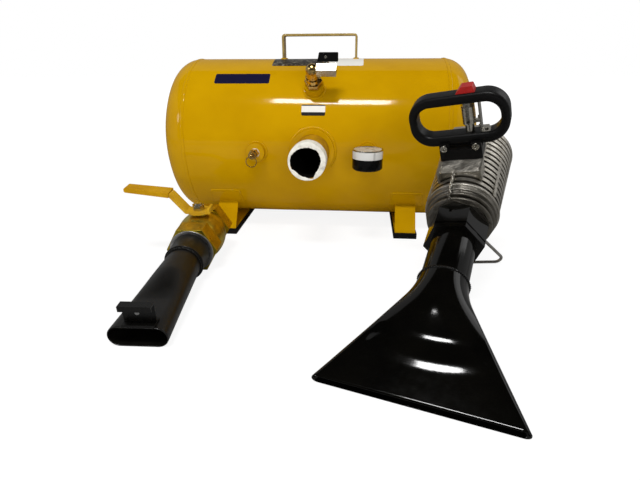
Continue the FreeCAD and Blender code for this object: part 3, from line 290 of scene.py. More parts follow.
def objectPlace(tree):
    # The piece's own object coordinates.
    return tree.nodes.new("ShaderNodeTexCoord").outputs["Object"]


def axisOf(tree, axis):
    # One of the object coordinates.
    return nodeOf(tree, "SeparateXYZ", objectPlace(tree)).node.outputs[axis]


def noiseOn(tree, scale, detail=3.0, rough=0.55, stretch=(1, 1, 1)):
    # Noise over the object coordinates, stretched by a Mapping node.
    place = nodeOf(tree, "Mapping", objectPlace(tree), (0, 0, 0), (0, 0, 0), stretch)
    noise = tree.nodes.new("ShaderNodeTexNoise")
    setInputs(tree, noise, {"Vector": place, "Scale": scale, "Detail": detail, "Roughness": rough})
    return noise.outputs["Fac"]


def rampOf(tree, source, stops):
    # Colour ramp with the given (place, grey or colour) stops.
    ramp = tree.nodes.new("ShaderNodeValToRGB")
    while len(ramp.color_ramp.elements) < len(stops):
        ramp.color_ramp.elements.new(0.5)
    for element, (at, colour) in zip(ramp.color_ramp.elements, stops):
        element.position = at
        element.color = (*(colour if hasattr(colour, "__len__") else (colour,) * 3), 1)
    tree.links.new(source, ramp.inputs["Fac"])
    return ramp.outputs["Color"]


def mixColours(tree, factor, first, second):
    # The colour between the two by the factor.
    mix = tree.nodes.new("ShaderNodeMix")
    mix.data_type = "RGBA"
    for socket, kind, value in (("Factor", "VALUE", factor), ("A", "RGBA", first), ("B", "RGBA", second)):
        target = [s for s in mix.inputs if s.name == socket and s.type == kind][0]
        if isinstance(value, bpy.types.NodeSocket):
            tree.links.new(value, target)
        else:
            target.default_value = (*value, 1) if isinstance(value, tuple) else value
    return [s for s in mix.outputs if s.type == "RGBA"][0]


def bumpOf(tree, shader, heights, coat=False):
    # Height maps stacked one on the other, each with its own strength and depth in metres.
    last = None
    for source, strength, depth in heights:
        bump = tree.nodes.new("ShaderNodeBump")
        setInputs(tree, bump, {"Strength": strength, "Distance": depth, "Height": source})
        if last:
            tree.links.new(last, bump.inputs["Normal"])
        last = bump.outputs["Normal"]
    setInputs(tree, shader, {"Normal": last, "Coat Normal": last} if coat else {"Normal": last})


def paintMaterial(name, look):
    # Paint: two close colours in soft patches, small pits of dust (scale, share, colour), roughness (low, high),
    # and peel and swell (scale, strength) as bumps.
    material, tree, shader = blankMaterial(name)
    dustScale, dustShare, dustColour = look["dust"]
    (low, high), (peelScale, peel), (swellScale, swell) = look["rough"], look["peel"], look["swell"]
    coat = look.get("coat", 0.0)
    patches = rampOf(tree, noiseOn(tree, look["patch"], 3, 0.6), [(0.35, look["dark"]), (0.65, look["light"])])
    dust = rampOf(tree, noiseOn(tree, dustScale, 2, 0.7), [(0.60, 0.0), (0.78, dustShare)])
    setInputs(tree, shader, {
        "Base Color": mixColours(tree, dust, patches, dustColour), "Coat Weight": coat,
        "Roughness": rampOf(tree, noiseOn(tree, look["patch"] * 5, 4, 0.6), [(0.3, low), (0.7, high)]),
        "Coat Roughness": look.get("coatRoughness", 0.06), "Specular IOR Level": look["specular"],
    })
    heights = [(noiseOn(tree, swellScale, 2, 0.5), swell, 0.001), (noiseOn(tree, peelScale, 2, 0.5), peel, 0.0002)]
    bumpOf(tree, shader, heights, coat > 0)
    return material


def metalMaterial(name, look):
    # Metal: two tones in patches, stains (colour, scale, share), roughness (low, high) in streaks (scale, stretch),
    # and lumps and grain (scale, strength) as bumps.
    material, tree, shader = blankMaterial(name)
    stainColour, stainScale, stainShare = look["stain"]
    (low, high), (grainScale, grain), (lumpScale, lump) = look["rough"], look["grain"], look["lump"]
    streakScale, stretch = look["streak"]
    tone = rampOf(tree, noiseOn(tree, look["patch"], 4, 0.6), [(0.3, look["dark"]), (0.7, look["light"])])
    stain = rampOf(tree, noiseOn(tree, stainScale, 5, 0.7), [(0.45, 0.0), (0.8, stainShare)])
    setInputs(tree, shader, {
        "Base Color": mixColours(tree, stain, tone, stainColour), "Metallic": 1.0,
        "Roughness": rampOf(tree, noiseOn(tree, streakScale, 3, 0.6, stretch), [(0.3, low), (0.75, high)]),
    })
    heights = [(noiseOn(tree, lumpScale, 2, 0.5), lump, 0.001), (noiseOn(tree, grainScale, 4, 0.65), grain, 0.0003)]
    bumpOf(tree, shader, heights)
    return material


yellowLook = {
    "dark": (0.500, 0.265, 0.0006), "light": (0.560, 0.305, 0.0009), "patch": 9.0,
    "dust": (900.0, 0.10, (0.30, 0.16, 0.004)), "rough": (0.45, 0.55), "coat": 0.42, "coatRoughness": 0.075,
    "peel": (420.0, 0.05), "swell": (14.0, 0.07), "specular": 0.0,
}
yellowPaint = paintMaterial("yellowPaint", yellowLook)
handlePaint = paintMaterial("handlePaint", {
    **yellowLook, "dark": (0.27, 0.185, 0.055), "light": (0.40, 0.285, 0.095), "patch": 60.0,
    "rough": (0.32, 0.45), "coat": 0.3,
})
leverPaint = paintMaterial("leverPaint", {
    **yellowLook, "dark": (0.50, 0.27, 0.012), "light": (0.62, 0.36, 0.02), "patch": 50.0, "coat": 0.4,
    "dust": (260.0, 0.4, (0.16, 0.08, 0.01)),
})
vinylGrip = paintMaterial("vinylGrip", {
    **yellowLook, "dark": (0.47, 0.235, 0.004), "light": (0.58, 0.315, 0.008), "patch": 45.0, "coat": 0.15,
    "rough": (0.42, 0.56), "peel": (1100.0, 0.4), "dust": (300.0, 0.3, (0.30, 0.16, 0.004)),
})
gunBlack = paintMaterial("gunBlack", {
    "dark": (0.0012, 0.0011, 0.0009), "light": (0.0022, 0.0020, 0.0015), "patch": 24.0, "specular": 0.34,
    "dust": (700.0, 0.06, (0.03, 0.025, 0.018)), "rough": (0.08, 0.12), "peel": (520.0, 0.07), "swell": (18.0, 0.10),
})
barrelBlack = paintMaterial("barrelBlack", {
    "dark": (0.0022, 0.0019, 0.0014), "light": (0.0042, 0.0037, 0.0027), "patch": 22.0, "specular": 0.42,
    "dust": (600.0, 0.10, (0.03, 0.026, 0.018)), "rough": (0.30, 0.40), "peel": (520.0, 0.10), "swell": (18.0, 0.08),
})
hookBlack = paintMaterial("hookBlack", {
    "dark": (0.0015, 0.0015, 0.0013), "light": (0.0035, 0.0032, 0.0028), "patch": 40.0, "specular": 0.28,
    "dust": (420.0, 0.2, (0.04, 0.035, 0.028)), "rough": (0.24, 0.38), "peel": (700.0, 0.2), "swell": (60.0, 0.2),
})
blackPlastic = paintMaterial("blackPlastic", {
    "dark": (0.0009, 0.0008, 0.0008), "light": (0.0018, 0.0016, 0.0015), "patch": 30.0, "specular": 0.26,
    "dust": (800.0, 0.08, (0.025, 0.022, 0.018)), "rough": (0.34, 0.46), "peel": (1500.0, 0.45), "swell": (40.0, 0.08),
})
gaugeBlack = paintMaterial("gaugeBlack", {
    "dark": (0.0014, 0.0014, 0.0015), "light": (0.0026, 0.0026, 0.0028), "patch": 60.0, "specular": 0.2,
    "dust": (900.0, 0.08, (0.03, 0.03, 0.03)), "rough": (0.18, 0.28), "peel": (900.0, 0.08), "swell": (60.0, 0.05),
})
shoeRubber = paintMaterial("shoeRubber", {
    "dark": (0.003, 0.003, 0.003), "light": (0.007, 0.0065, 0.006), "patch": 45.0, "specular": 0.15,
    "dust": (300.0, 0.3, (0.04, 0.034, 0.028)), "rough": (0.62, 0.8), "peel": (1400.0, 0.6), "swell": (80.0, 0.3),
})
buttonRed = paintMaterial("buttonRed", {
    "dark": (0.33, 0.004, 0.002), "light": (0.43, 0.007, 0.004), "patch": 70.0, "specular": 0.45,
    "dust": (900.0, 0.1, (0.25, 0.02, 0.01)), "rough": (0.3, 0.42), "peel": (1200.0, 0.2), "swell": (80.0, 0.1),
})
sealWhite = paintMaterial("sealWhite", {
    "dark": (0.70, 0.69, 0.66), "light": (0.82, 0.81, 0.79), "patch": 80.0, "specular": 0.4,
    "dust": (500.0, 0.2, (0.5, 0.48, 0.45)), "rough": (0.35, 0.5), "peel": (1000.0, 0.15), "swell": (90.0, 0.1),
})
dialWhite = paintMaterial("dialWhite", {
    "dark": (0.74, 0.74, 0.71), "light": (0.80, 0.80, 0.78), "patch": 90.0, "specular": 0.4,
    "dust": (1500.0, 0.1, (0.5, 0.5, 0.48)), "rough": (0.35, 0.5), "peel": (1500.0, 0.05), "swell": (90.0, 0.05),
})
dialInk = paintMaterial("dialInk", {
    "dark": (0.006, 0.006, 0.006), "light": (0.012, 0.012, 0.012), "patch": 90.0, "specular": 0.3,
    "dust": (1500.0, 0.1, (0.1, 0.1, 0.1)), "rough": (0.4, 0.55), "peel": (1500.0, 0.05), "swell": (90.0, 0.05),
})

castLook = {
    "dark": (0.50, 0.47, 0.40), "light": (0.80, 0.76, 0.68), "patch": 38.0, "stain": ((0.16, 0.135, 0.095), 95.0, 0.55),
    "streak": (60.0, (1, 1, 1)), "rough": (0.30, 0.52), "grain": (900.0, 0.6), "lump": (130.0, 0.75),
}
castAluminium = metalMaterial("castAluminium", castLook)
brass = metalMaterial("brass", {
    "dark": (0.50, 0.31, 0.085), "light": (0.80, 0.58, 0.22), "patch": 90.0, "stain": ((0.16, 0.08, 0.02), 160.0, 0.6),
    "streak": (60.0, (1, 6, 1)), "rough": (0.16, 0.34), "grain": (1200.0, 0.15), "lump": (200.0, 0.08),
})
valveBrass = metalMaterial("valveBrass", {
    **castLook, "dark": (0.58, 0.43, 0.035), "light": (0.80, 0.62, 0.07), "patch": 55.0,
    "stain": ((0.22, 0.14, 0.012), 120.0, 0.55), "rough": (0.26, 0.44), "grain": (800.0, 0.35), "lump": (120.0, 0.2),
})
nickel = metalMaterial("nickel", {
    **castLook, "light": (0.72, 0.69, 0.61), "patch": 120.0, "stain": ((0.16, 0.13, 0.09), 260.0, 0.5),
    "rough": (0.16, 0.32), "grain": (1400.0, 0.08), "lump": (260.0, 0.10),
})
spotSteel = metalMaterial("wireSteel", {
    **castLook, "dark": (0.40, 0.385, 0.35), "light": (0.62, 0.60, 0.56), "patch": 150.0,
    "stain": ((0.16, 0.13, 0.10), 200.0, 0.5), "rough": (0.24, 0.4), "grain": (1200.0, 0.2), "lump": (200.0, 0.1),
})
washerZinc = metalMaterial("washerZinc", {
    **castLook, "dark": (0.44, 0.44, 0.43), "light": (0.62, 0.62, 0.61), "patch": 80.0,
    "stain": ((0.2, 0.19, 0.17), 140.0, 0.4), "rough": (0.3, 0.46), "grain": (1000.0, 0.25), "lump": (160.0, 0.1),
})
# Inside of the tank wall: near black, painted shade for the hollow seen through the outlet.
tankInsideShade = metalMaterial("tankInsideShade", {
    **castLook, "dark": (0.010, 0.008, 0.006), "light": (0.022, 0.017, 0.012),
    "stain": ((0.02, 0.010, 0.005), 95.0, 0.55), "rough": (0.6, 0.8),
})


def tapeMaterial():
    # Thread tape: milky white film with fine drawn fibres round the pipe and greyer folds.
    material, tree, shader = blankMaterial("threadTape")
    folds = [(0.3, (0.52, 0.50, 0.44)), (0.5, (0.84, 0.81, 0.72)), (0.8, (0.90, 0.88, 0.80))]
    setInputs(tree, shader, {
        "Base Color": rampOf(tree, noiseOn(tree, 75.0, 4, 0.6), folds), "Roughness": 0.62,
        "Subsurface Weight": 0.08, "Subsurface Radius": (0.001, 0.001, 0.001),
    })
    wrinkle, fibre = noiseOn(tree, 160.0, 3, 0.6), noiseOn(tree, 500.0, 3, 0.6, (1, 5, 1))
    bumpOf(tree, shader, [(wrinkle, 0.6, 0.0008), (fibre, 0.35, 0.0003)])
    return material


def lensMaterial(look):
    # Clear plastic cover: see-through on top; its side wall is milky, with a few darker upright marks.
    material, tree, shader = blankMaterial("clearLens")
    onTop = nodeOf(tree, "Math", axisOf(tree, "Z"), look["wallTop"] * mm, operation="GREATER_THAN")
    marks = rampOf(tree, noiseOn(tree, look["markScale"], 2, 0.6, (1, 1, 0.05)),
                   [(0.30, look["markDark"]), (0.44, look["wallColour"]), (0.9, look["wallColour"])])
    setInputs(tree, shader, {
        "Base Color": mixColours(tree, onTop, marks, (0.96, 0.97, 0.97)), "IOR": 1.46,
        "Transmission Weight": nodeOf(tree, "MapRange", onTop, 0.0, 1.0, look["wallClear"]),
        "Roughness": rampOf(tree, noiseOn(tree, 120.0, 3, 0.5), [(0.3, 0.02), (0.8, 0.06)]),
    })
    bumpOf(tree, shader, [(noiseOn(tree, 60.0, 2, 0.5), 0.12, 0.0006)])
    return material


threadTape = tapeMaterial()
clearLens = lensMaterial({
    "wallTop": 173.8, "markScale": 130.0, "markDark": (0.05, 0.045, 0.04), "wallColour": (0.86, 0.85, 0.81),
    "wallClear": 0.25,
})
print("materials made")


# Tank: shell and heads in one skin, with weld seams

def tankSection(steps):
    # Half profile from the left pole to the right one: crown arc, knuckle arc, straight shell, and back.
    r, h, wide = tank["knuckle"], tank["headDepth"], tank["radius"] - tank["knuckle"]
    crown = (h * h - r * r + wide * wide) / (2 * (h - r))
    lean = math.atan2(wide, crown - h)
    a = np.linspace(0, lean, steps["crown"])
    b = np.linspace(lean, math.pi / 2, steps["knuckle"])[1:]
    x = np.concatenate([h - crown + crown * np.cos(a), r * np.cos(b)])
    y = np.concatenate([crown * np.sin(a), wide + r * np.sin(b)])
    x, y = x + tank["halfStraight"], y
    straight = np.linspace(tank["halfStraight"], -tank["halfStraight"], steps["shell"])[1:-1]
    xs = np.concatenate([x, straight, -x[::-1]])
    ys = np.concatenate([y, np.full(len(straight), tank["radius"]), y[::-1]])
    return xs, ys


skin = {"crown": 20, "knuckle": 14, "shell": 92, "around": 192, "holeRadius": 33.6, "wave": 0.12, "wall": 3.0}


def makeTankSkin():
    # Section turned about the tank's axis; the radius swells by a few slow waves; cells over the outlet are left out.
    xs, ys = tankSection(skin)
    a = np.linspace(0, 2 * math.pi, skin["around"], endpoint=False)
    rows, cols = len(xs), len(a)
    rows, cols = len(xs), len(a)
    ripples = np.sin(xs * 0.031 + 0.6)[:, None] * np.cos(3 * a + 0.8)
    ripples += 0.6 * np.sin(xs * 0.017)[:, None] * np.sin(5 * a)
    radius = ys[:, None] + skin["wave"] * ripples * np.clip(ys / tank["radius"], 0, 1)[:, None] ** 4
    along = np.broadcast_to(xs[:, None], (rows, cols))
    flat = np.stack([along, -radius * np.cos(a), tank["axisZ"] + radius * np.sin(a)], -1).reshape(-1, 3)
    faces = gridFaces(rows, cols, False, True)
    middle = flat[faces].mean(1)
    overHole = (middle[:, 1] < 0) & (np.hypot(middle[:, 0], middle[:, 2] - tank["axisZ"]) < skin["holeRadius"])
    obj = newPiece("tankSkin", flat, faces[~overHole], yellowPaint, "tank", "yellow_paint",
                   ["tank_shell", "left_head", "right_head"], sharp=60)
    wall = obj.modifiers.new("wall", "SOLIDIFY")
    wall.thickness = skin["wall"] * mm
    wall.offset = -1
    # The wall's inner face takes the near-black painted shade.
    obj.data.materials.append(tankInsideShade)
    wall.material_offset = 1
    return obj


makeTankSkin()


def onTank(x, angle):
    # Point on the shell at an angle above the horizontal of the outlet side, and the outward normal there.
    a = np.radians(angle)
    normal = np.stack([0 * a, -np.cos(a), np.sin(a)], -1)
    point = normal * tank["radius"]
    point[:, 0] = x
    point[:, 2] += tank["axisZ"]
    return point, normal


def saddle(x, z, radius, turn=0.0, count=96, sink=0.0):
    # Where a round boss of the given radius meets the shell; turn lifts the boss round the tank's axis.
    t = np.linspace(0, 2 * math.pi, count, endpoint=False)
    u, v = radius * np.cos(t), z + radius * np.sin(t)
    depth = np.sqrt((tank["radius"] + sink) ** 2 - v ** 2)
    c, s = math.cos(math.radians(turn)), math.sin(math.radians(turn))
    out = np.stack([x + u, -(depth * c - v * s), depth * s + v * c], -1)
    normal = unit(np.stack([0 * u, out[:, 1], out[:, 2]], -1))
    out[:, 2] += tank["axisZ"]
    return out, normal


def densify(outline, step):
    # The same closed outline with points at equal steps along it.
    closed = np.concatenate([outline, outline[:1]])
    run = np.concatenate([[0], np.cumsum(np.linalg.norm(np.diff(closed, axis=0), axis=1))])
    at = np.linspace(0, run[-1], int(run[-1] / step), endpoint=False)
    return np.stack([np.interp(at, run, closed[:, k]) for k in range(closed.shape[1])], -1)


degree = 2.618  # mm of the shell per degree round it
# Name, middle along the tank, half length, middle angle, half angle, corner, its steps, bead width, height, pitch
frameWelds = [
    (side + part + "PadWeld", x, 27.0, angle, 7.1, 2.5, 6, 4.4, 1.6, 2.4)
    for side, x in (("left", -170.0), ("right", 170.0)) for part, angle in (("Front", -39.5), ("Rear", -140.5))
] + [(side + "HandleWeld", x, 3.2, 90.0, 5.5, 1.5, 5, 4.0, 1.8, 2.2) for side, x in (("left", -69.5), ("right", 69.5))]
# Name, middle along the tank and up it, radius, turn round the tank, bead width
bossWelds = [
    ("outletWeld", 0.0, 0.0, 39.5, 0.0, 6.0), ("gaugeBossWeld", 95.5, 0.0, 17.2, 0.0, 4.5),
    ("safetyBossWeld", -100.0, -2.0, 17.2, 0.0, 4.5), ("inletWeld", 0.0, 0.0, 18.2, 42.0, 5.0),
]


def makeTankWelds():
    # Beads round the shell at its two seams, round each boss, and round each foot pad and handle end.
    around = np.linspace(0, 360, 600, endpoint=False)
    for name, x in (("leftSeamWeld", -234.5), ("rightSeamWeld", 234.5)):
        path, normal = onTank(np.full(600, x) + 0.25 * np.sin(np.radians(around * 23)), around)
        weldBead(name, path, 6.0, 0.9, normal, yellowPaint, "tank", ripple=0.18, pitch=3.6)
    for name, x, z, radius, turn, wide in bossWelds:
        path, normal = saddle(x, z, radius, turn, count=int(radius * 8))
        weldBead(name, path, wide, 2.2, normal, yellowPaint, "tank", pitch=2.6)
    for name, x, half, angle, high, corner, steps, wide, height, pitch in frameWelds:
        corners = [(x + u * half, (angle + v * high) * degree) for u, v in ((-1, -1), (1, -1), (1, 1), (-1, 1))]
        outline = densify(roundedCorners(corners, [corner] * 4, steps), 0.7)
        path, normal = onTank(outline[:, 0], outline[:, 1] / degree)
        weldBead(name, path, wide, height, normal, yellowPaint, "tank", pitch=pitch)


makeTankWelds()
print("tank skin and welds made")

straightOut = (turnAbout("x", 180.0), np.array([0.0, 0.0, tank["axisZ"]]))

# Feet, shoes, handle and bosses
for row in (
    ("leftFoot", "left_foot", yellowPaint, "yellow_paint", 0.8, 3),
    ("leftShoe", "left_shoe", shoeRubber, "shoe_rubber", 1.2, 3),
    ("rightFoot", "right_foot", yellowPaint, "yellow_paint", 0.8, 3),
    ("rightShoe", "right_shoe", shoeRubber, "shoe_rubber", 1.2, 3),
    ("carryHandle", "carry_handle", handlePaint, "handle_gold", 0.8, 3),
    ("fittingBosses", "small_bosses", yellowPaint, "yellow_paint", 1.2, 3),
    ("inletCoupling", "inlet_boss", yellowPaint, "yellow_paint", 1.2, 3),
    ("outletCollar", "outlet_boss", yellowPaint, "yellow_paint", 1.6, 3),
):
    dressedCopy(*row)

outlet = {
    "radius": 29.8, "bore": 25.8, "back": 144.0, "front": 240.2, "threadFrom": 214.0, "pitch": 2.2, "depth": 0.55,
}


def makeOutletPipe():
    # Pipe profile: bore, rim and outside, whose last part before the rim is cut with thread ridges.
    ridge = np.arange(outlet["front"] - 1.5, outlet["threadFrom"], -outlet["pitch"] / 2)
    depth = np.where(np.arange(len(ridge)) % 2 == 0, 0.0, outlet["depth"])
    outside = [(outlet["back"], outlet["radius"]), (outlet["threadFrom"] - 1, outlet["radius"])]
    outside += list(zip(ridge[::-1], outlet["radius"] - depth[::-1]))
    profile = outside + [(outlet["front"], outlet["radius"] - 1.2), (outlet["front"], outlet["bore"] + 0.4)]
    profile += [(outlet["front"] - 0.5, outlet["bore"]), (outlet["back"], outlet["bore"])]
    grid = turnedGrid(np.array(profile), 96)
    points = placed(grid.reshape(-1, 3), *straightOut)
    newPiece("outletPipe", points, gridFaces(len(profile), 96, True, True), shadedOutletPaint, "tank", "steel_pipe",
             ["outlet_nipple"], sharp=30)


def paintedBoreShade(material, centre, radius, colour):
    # Nearer to the pipe's axis than the radius the paint gives way to a near-black colour without gloss: painted shade
    # inside the bore.
    tree = material.node_tree
    shader = tree.nodes["Principled BSDF"]
    toAxis = (-centre[0] * mm, 0, -centre[2] * mm)
    across = nodeOf(tree, "Mapping", objectPlace(tree), toAxis, (0, 0, 0), (1, 0, 1))
    length = nodeOf(tree, "VectorMath", across, operation="LENGTH")
    inside = nodeOf(tree, "Math", length, radius * mm, operation="LESS_THAN")
    outside = nodeOf(tree, "Math", length, radius * mm, operation="GREATER_THAN")
    coat = nodeOf(tree, "Math", outside, shader.inputs["Coat Weight"].default_value, operation="MULTIPLY")
    paint = shader.inputs["Base Color"].links[0].from_socket
    setInputs(tree, shader, {"Coat Weight": coat, "Base Color": mixColours(tree, inside, paint, colour)})


# Outlet pipe paint: a darker yellow than the tank's, painted shade on the part that sits back in the collar behind the
# tape; with dark dust.
shadedOutletPaint = paintMaterial("outletPaintShaded", {
    **yellowLook, "dark": (0.30, 0.15, 0.01), "light": (0.50, 0.26, 0.01), "patch": 70.0, "coat": 0.4,
    "dust": (220.0, 0.6, (0.05, 0.03, 0.01)),
})
# Painted shade inside the outlet's bore: near black and without gloss.
paintedBoreShade(shadedOutletPaint, (0.0, 0.0, tank["axisZ"]), 26.6, (0.006, 0.0055, 0.005))
makeOutletPipe()

tape = {
    "angles": [0, 25, 45, 60, 90, 120, 150, 180, 205, 215, 232, 250, 270, 285, 291, 300, 312, 328, 345],
    "edge": [22.0, 22.9, 23.4, 22.8, 21.9, 22.8, 25.2, 26.9, 26.8, 24.6, 23.6, 24.4, 25.6, 27.6, 28.0, 24.6, 22.0,
             21.2, 21.4],
    "outer": 30.45, "rear": 215.0, "front": 241.0, "ragged": 0.9, "waves": 0.22,
}


def makeOutletTape():
    # Ring film: up over the thread, round the rim and in to a torn edge whose radius follows the table of angles.
    a = np.linspace(0, 360, 240, endpoint=False)
    edge = np.interp(a, tape["angles"] + [360], tape["edge"] + [tape["edge"][0]])
    w = np.radians(a)
    edge = edge + 0.25 * np.sin(9 * w + 1) + 0.15 * np.sin(23 * w)
    rear = tape["rear"] + tape["ragged"] * np.sin(3 * w + 0.5) + 0.4 * np.sin(11 * w)
    along = np.linspace(0, 1, 22)[:, None]
    outerS = rear + (239.6 - rear) * along
    turns = 0.16 * np.sin(outerS * 2.1 + 1.5 * np.sin(w * 2))
    outerR = tape["outer"] + turns + tape["waves"] * np.sin(5 * w) * along * 0.5
    rimS, rimR = np.array([[240.6], [241.0]]) + 0 * w, np.array([[30.3], [29.4]]) + 0 * w
    share = np.linspace(0.12, 1, 9)[:, None]
    faceR = 29.4 + (edge - 29.4) * share
    curl = 0.35 * np.sin(7 * w + 4 * share) + 0.25 * np.sin(17 * w + 2)
    faceS = tape["front"] + curl * share - 0.5 * share ** 3
    backR = edge + np.array([[0.0], [0.5], [1.5]])
    backS = faceS[-1] - np.array([[0.35], [0.45], [0.5]])
    innerR = np.array([[29.2], [29.86], [29.86]]) + 0 * w
    innerS = np.stack([240.25 + 0 * w, 239.8 + 0 * w, rear])
    s = np.concatenate([outerS, rimS, faceS, backS, innerS])
    r = np.concatenate([outerR, rimR, faceR, backR, innerR])
    grid = np.stack([r * np.cos(w), s, -r * np.sin(w)], -1)
    points = placed(grid.reshape(-1, 3), *straightOut)
    newPiece("outletTape", points, gridFaces(s.shape[0], len(w), True, True), threadTape, "tank", "thread_tape",
             ["outlet_tape"], sharp=70)


makeOutletTape()


# Gauge
gauge = {
    "x": 95.5, "y": -195.0, "bottom": 141.5, "radius": 25.0, "caseTop": 160.5, "top": 175.0, "ticks": 31,
    "sweep": 270.0, "bezel": 12.6, "figureRing": 13.2, "figureSize": 4.6,
}
upright = (turnAbout("x", 90.0), np.array([gauge["x"], gauge["y"], 0.0]))


def makeGauge():
    # Case, bezel, dial and lens turned about the upright axis; ticks and figures at equal angles on the dial.
    z0, z1, z2, r = gauge["bottom"], gauge["caseTop"], gauge["top"], gauge["radius"]
    turnedPiece("gaugeCase", [(z0, 0.01), (z0, r), (z1, r), (z1, r - 1.5), (z1 - 1.5, r - 1.5), (z1 - 1.5, 0.01)],
                [0, 4.0, 0.4, 0.2, 0, 0], upright, gaugeBlack, "tank", "gauge_black", ["gauge_case"], 96)
    ring = z1 + gauge["bezel"]
    bezel = [(ring, r + 0.15), (z2 + 0.2, r + 0.15), (z2 + 0.2, r - 2.0), (z2 - 0.2, r - 2.0), (z2 - 0.2, r - 0.3),
             (ring, r - 0.3)]
    turnedPiece("gaugeBezel", bezel, [0.1, 0.3, 0.1, 0, 0, 0.1], upright, nickel, "tank", "gauge_black", (), 96)
    low, dialR = z1 - 1.5, r - 1.55
    turnedPiece("gaugeDial", [(low, 0.9), (low, dialR), (low + 0.8, dialR), (low + 0.8, 0.9)], [0, 0, 0.2, 0], upright,
                dialWhite, "tank", "dial_white", ["gauge_dial"], 96)
    # Tick marks: thin plates, every fifth one longer and wider.
    k = np.arange(gauge["ticks"])
    angle = np.radians(225 - gauge["sweep"] * k / (gauge["ticks"] - 1))
    major = k % 5 == 0
    inner, outer, half = np.where(major, 16.6, 18.6), 21.6, np.where(major, 0.45, 0.22)
    box = np.array([[i, j, h] for i in (0, 1) for j in (-1, 1) for h in (0, 1)], float)
    radial = inner[:, None] + (outer - inner)[:, None] * box[None, :, 0]
    across = half[:, None] * box[None, :, 1]
    c, s = np.cos(angle)[:, None], np.sin(angle)[:, None]
    points = np.stack([gauge["x"] + radial * c - across * s, gauge["y"] + radial * s + across * c,
                       low + 0.8 + 0.06 * box[None, :, 2] + 0 * radial], -1)
    quads = np.array([[0, 1, 3, 2], [4, 6, 7, 5], [0, 4, 5, 1], [2, 3, 7, 6], [1, 5, 7, 3], [0, 2, 6, 4]])
    faces = (quads[None] + 8 * k[:, None, None]).reshape(-1, 4)
    newPiece("gaugeTicks", points, faces, dialInk, "tank", "dial_white", (), 20)
    for n in range(7):
        t = math.radians(225 - gauge["sweep"] * n / 6)
        x, y = gauge["x"] + gauge["figureRing"] * math.cos(t), gauge["y"] + gauge["figureRing"] * math.sin(t)
        dialFigure("gaugeFigure" + str(n), str(2 * n), x, y, low + 0.8)
    lens = [(z1 + 0.02, r), (z2, r), (z2, 0.01), (z2 - 1.5, 0.01), (z2 - 1.5, r - 1.5), (z1 + 0.02, r - 1.5)]
    turnedPiece("gaugeLens", lens, [0.2, 1.0, 0, 0, 0.6, 0.2], upright, clearLens, "tank", "clear_lens", ["gauge_lens"],
                96)


def dialFigure(name, text, x, y, z):
    # A flat figure, made a mesh before it is put on the dial.
    curve = bpy.data.curves.new(name, "FONT")
    curve.body, curve.size, curve.align_x, curve.align_y = text, gauge["figureSize"] * mm, "CENTER", "CENTER"
    curve.extrude = 0.03 * mm
    holder = linked(name + "Text", curve)
    bpy.context.view_layer.update()
    mesh = bpy.data.meshes.new_from_object(holder.evaluated_get(bpy.context.evaluated_depsgraph_get()))
    bpy.data.objects.remove(holder)
    mesh.transform(Matrix.Translation((x * mm, y * mm, (z + 0.03) * mm)))
    finishObject(linked(name, mesh), dialInk, "tank", ())


makeGauge()
print("outlet and gauge made")

# Gauge needle and stem, safety valve and inlet stack
for row in (
    ("gaugePointer", "gauge_needle", gaugeBlack, "gauge_black", 0.12, 2),
    ("gaugeStem", "gauge_stem", brass, "brass", 0.5, 2),
    ("safetyBody", "safety_valve_body", brass, "brass", 0.6, 3),
    ("safetyStem", "safety_stem", brass, "brass", 0.2, 2),
    ("safetyRing", "pull_ring", brass, "brass", 0.0),
    ("safetyTape", "safety_tape", threadTape, "thread_tape", 0.5, 3),
    ("inletHexNipple", "inlet_nipple", brass, "brass", 0.8, 3),
    ("inletElbow", "inlet_elbow", brass, "brass", 0.7, 3),
    ("inletValveBody", "inlet_valve_body", nickel, "nickel", 0.8, 3),
    ("inletWing", "inlet_valve_lever", blackPlastic, "black_plastic", 0.8, 3),
    ("inletWingScrew", "inlet_lever_screw", nickel, "nickel", 0.3, 2),
    ("inletValveBall", "inlet_valve_ball", nickel, "nickel", 0.3, 2),
):
    dressedCopy(*row)
print("safety valve and inlet made")


# Blank label places

def labelMaterial(name, look, roughness):
    # Printed film: bands of colour along one object axis, each edge a crisp step, with a fine film grain.
    material, tree, shader = blankMaterial(name)
    colour, start = look["base"], look["speckFrom"]
    for axis, at, side, value in look["steps"]:
        colour = mixColours(tree, nodeOf(tree, "Math", axisOf(tree, axis), at * mm, operation=side), colour, value)
    speck = rampOf(tree, noiseOn(tree, look["speckScale"], 4, 0.7, look.get("speckStretch", (1, 1, 1))),
                   [(start, 0.0), (start + 0.1, look["speckShare"])])
    if "speckUntil" in look:
        gate = nodeOf(tree, "Math", axisOf(tree, "X"), look["speckUntil"] * mm, operation="LESS_THAN")
        speck = mixColours(tree, gate, (0.0, 0.0, 0.0), speck)
    rough = rampOf(tree, noiseOn(tree, 300.0, 3, 0.6), [(0.3, roughness), (0.8, roughness + 0.14)])
    setInputs(tree, shader, {"Base Color": mixColours(tree, speck, colour, look["speckColour"]), "Roughness": rough,
                             "Specular IOR Level": 0.12})
    bumpOf(tree, shader, [(noiseOn(tree, 90.0, 2, 0.5), 0.1, 0.0006)])
    return material


def filmHeight(angle):
    # Height of the film's face at an angle up the shell.
    return tank["axisZ"] + 150.3 * math.sin(math.radians(angle))


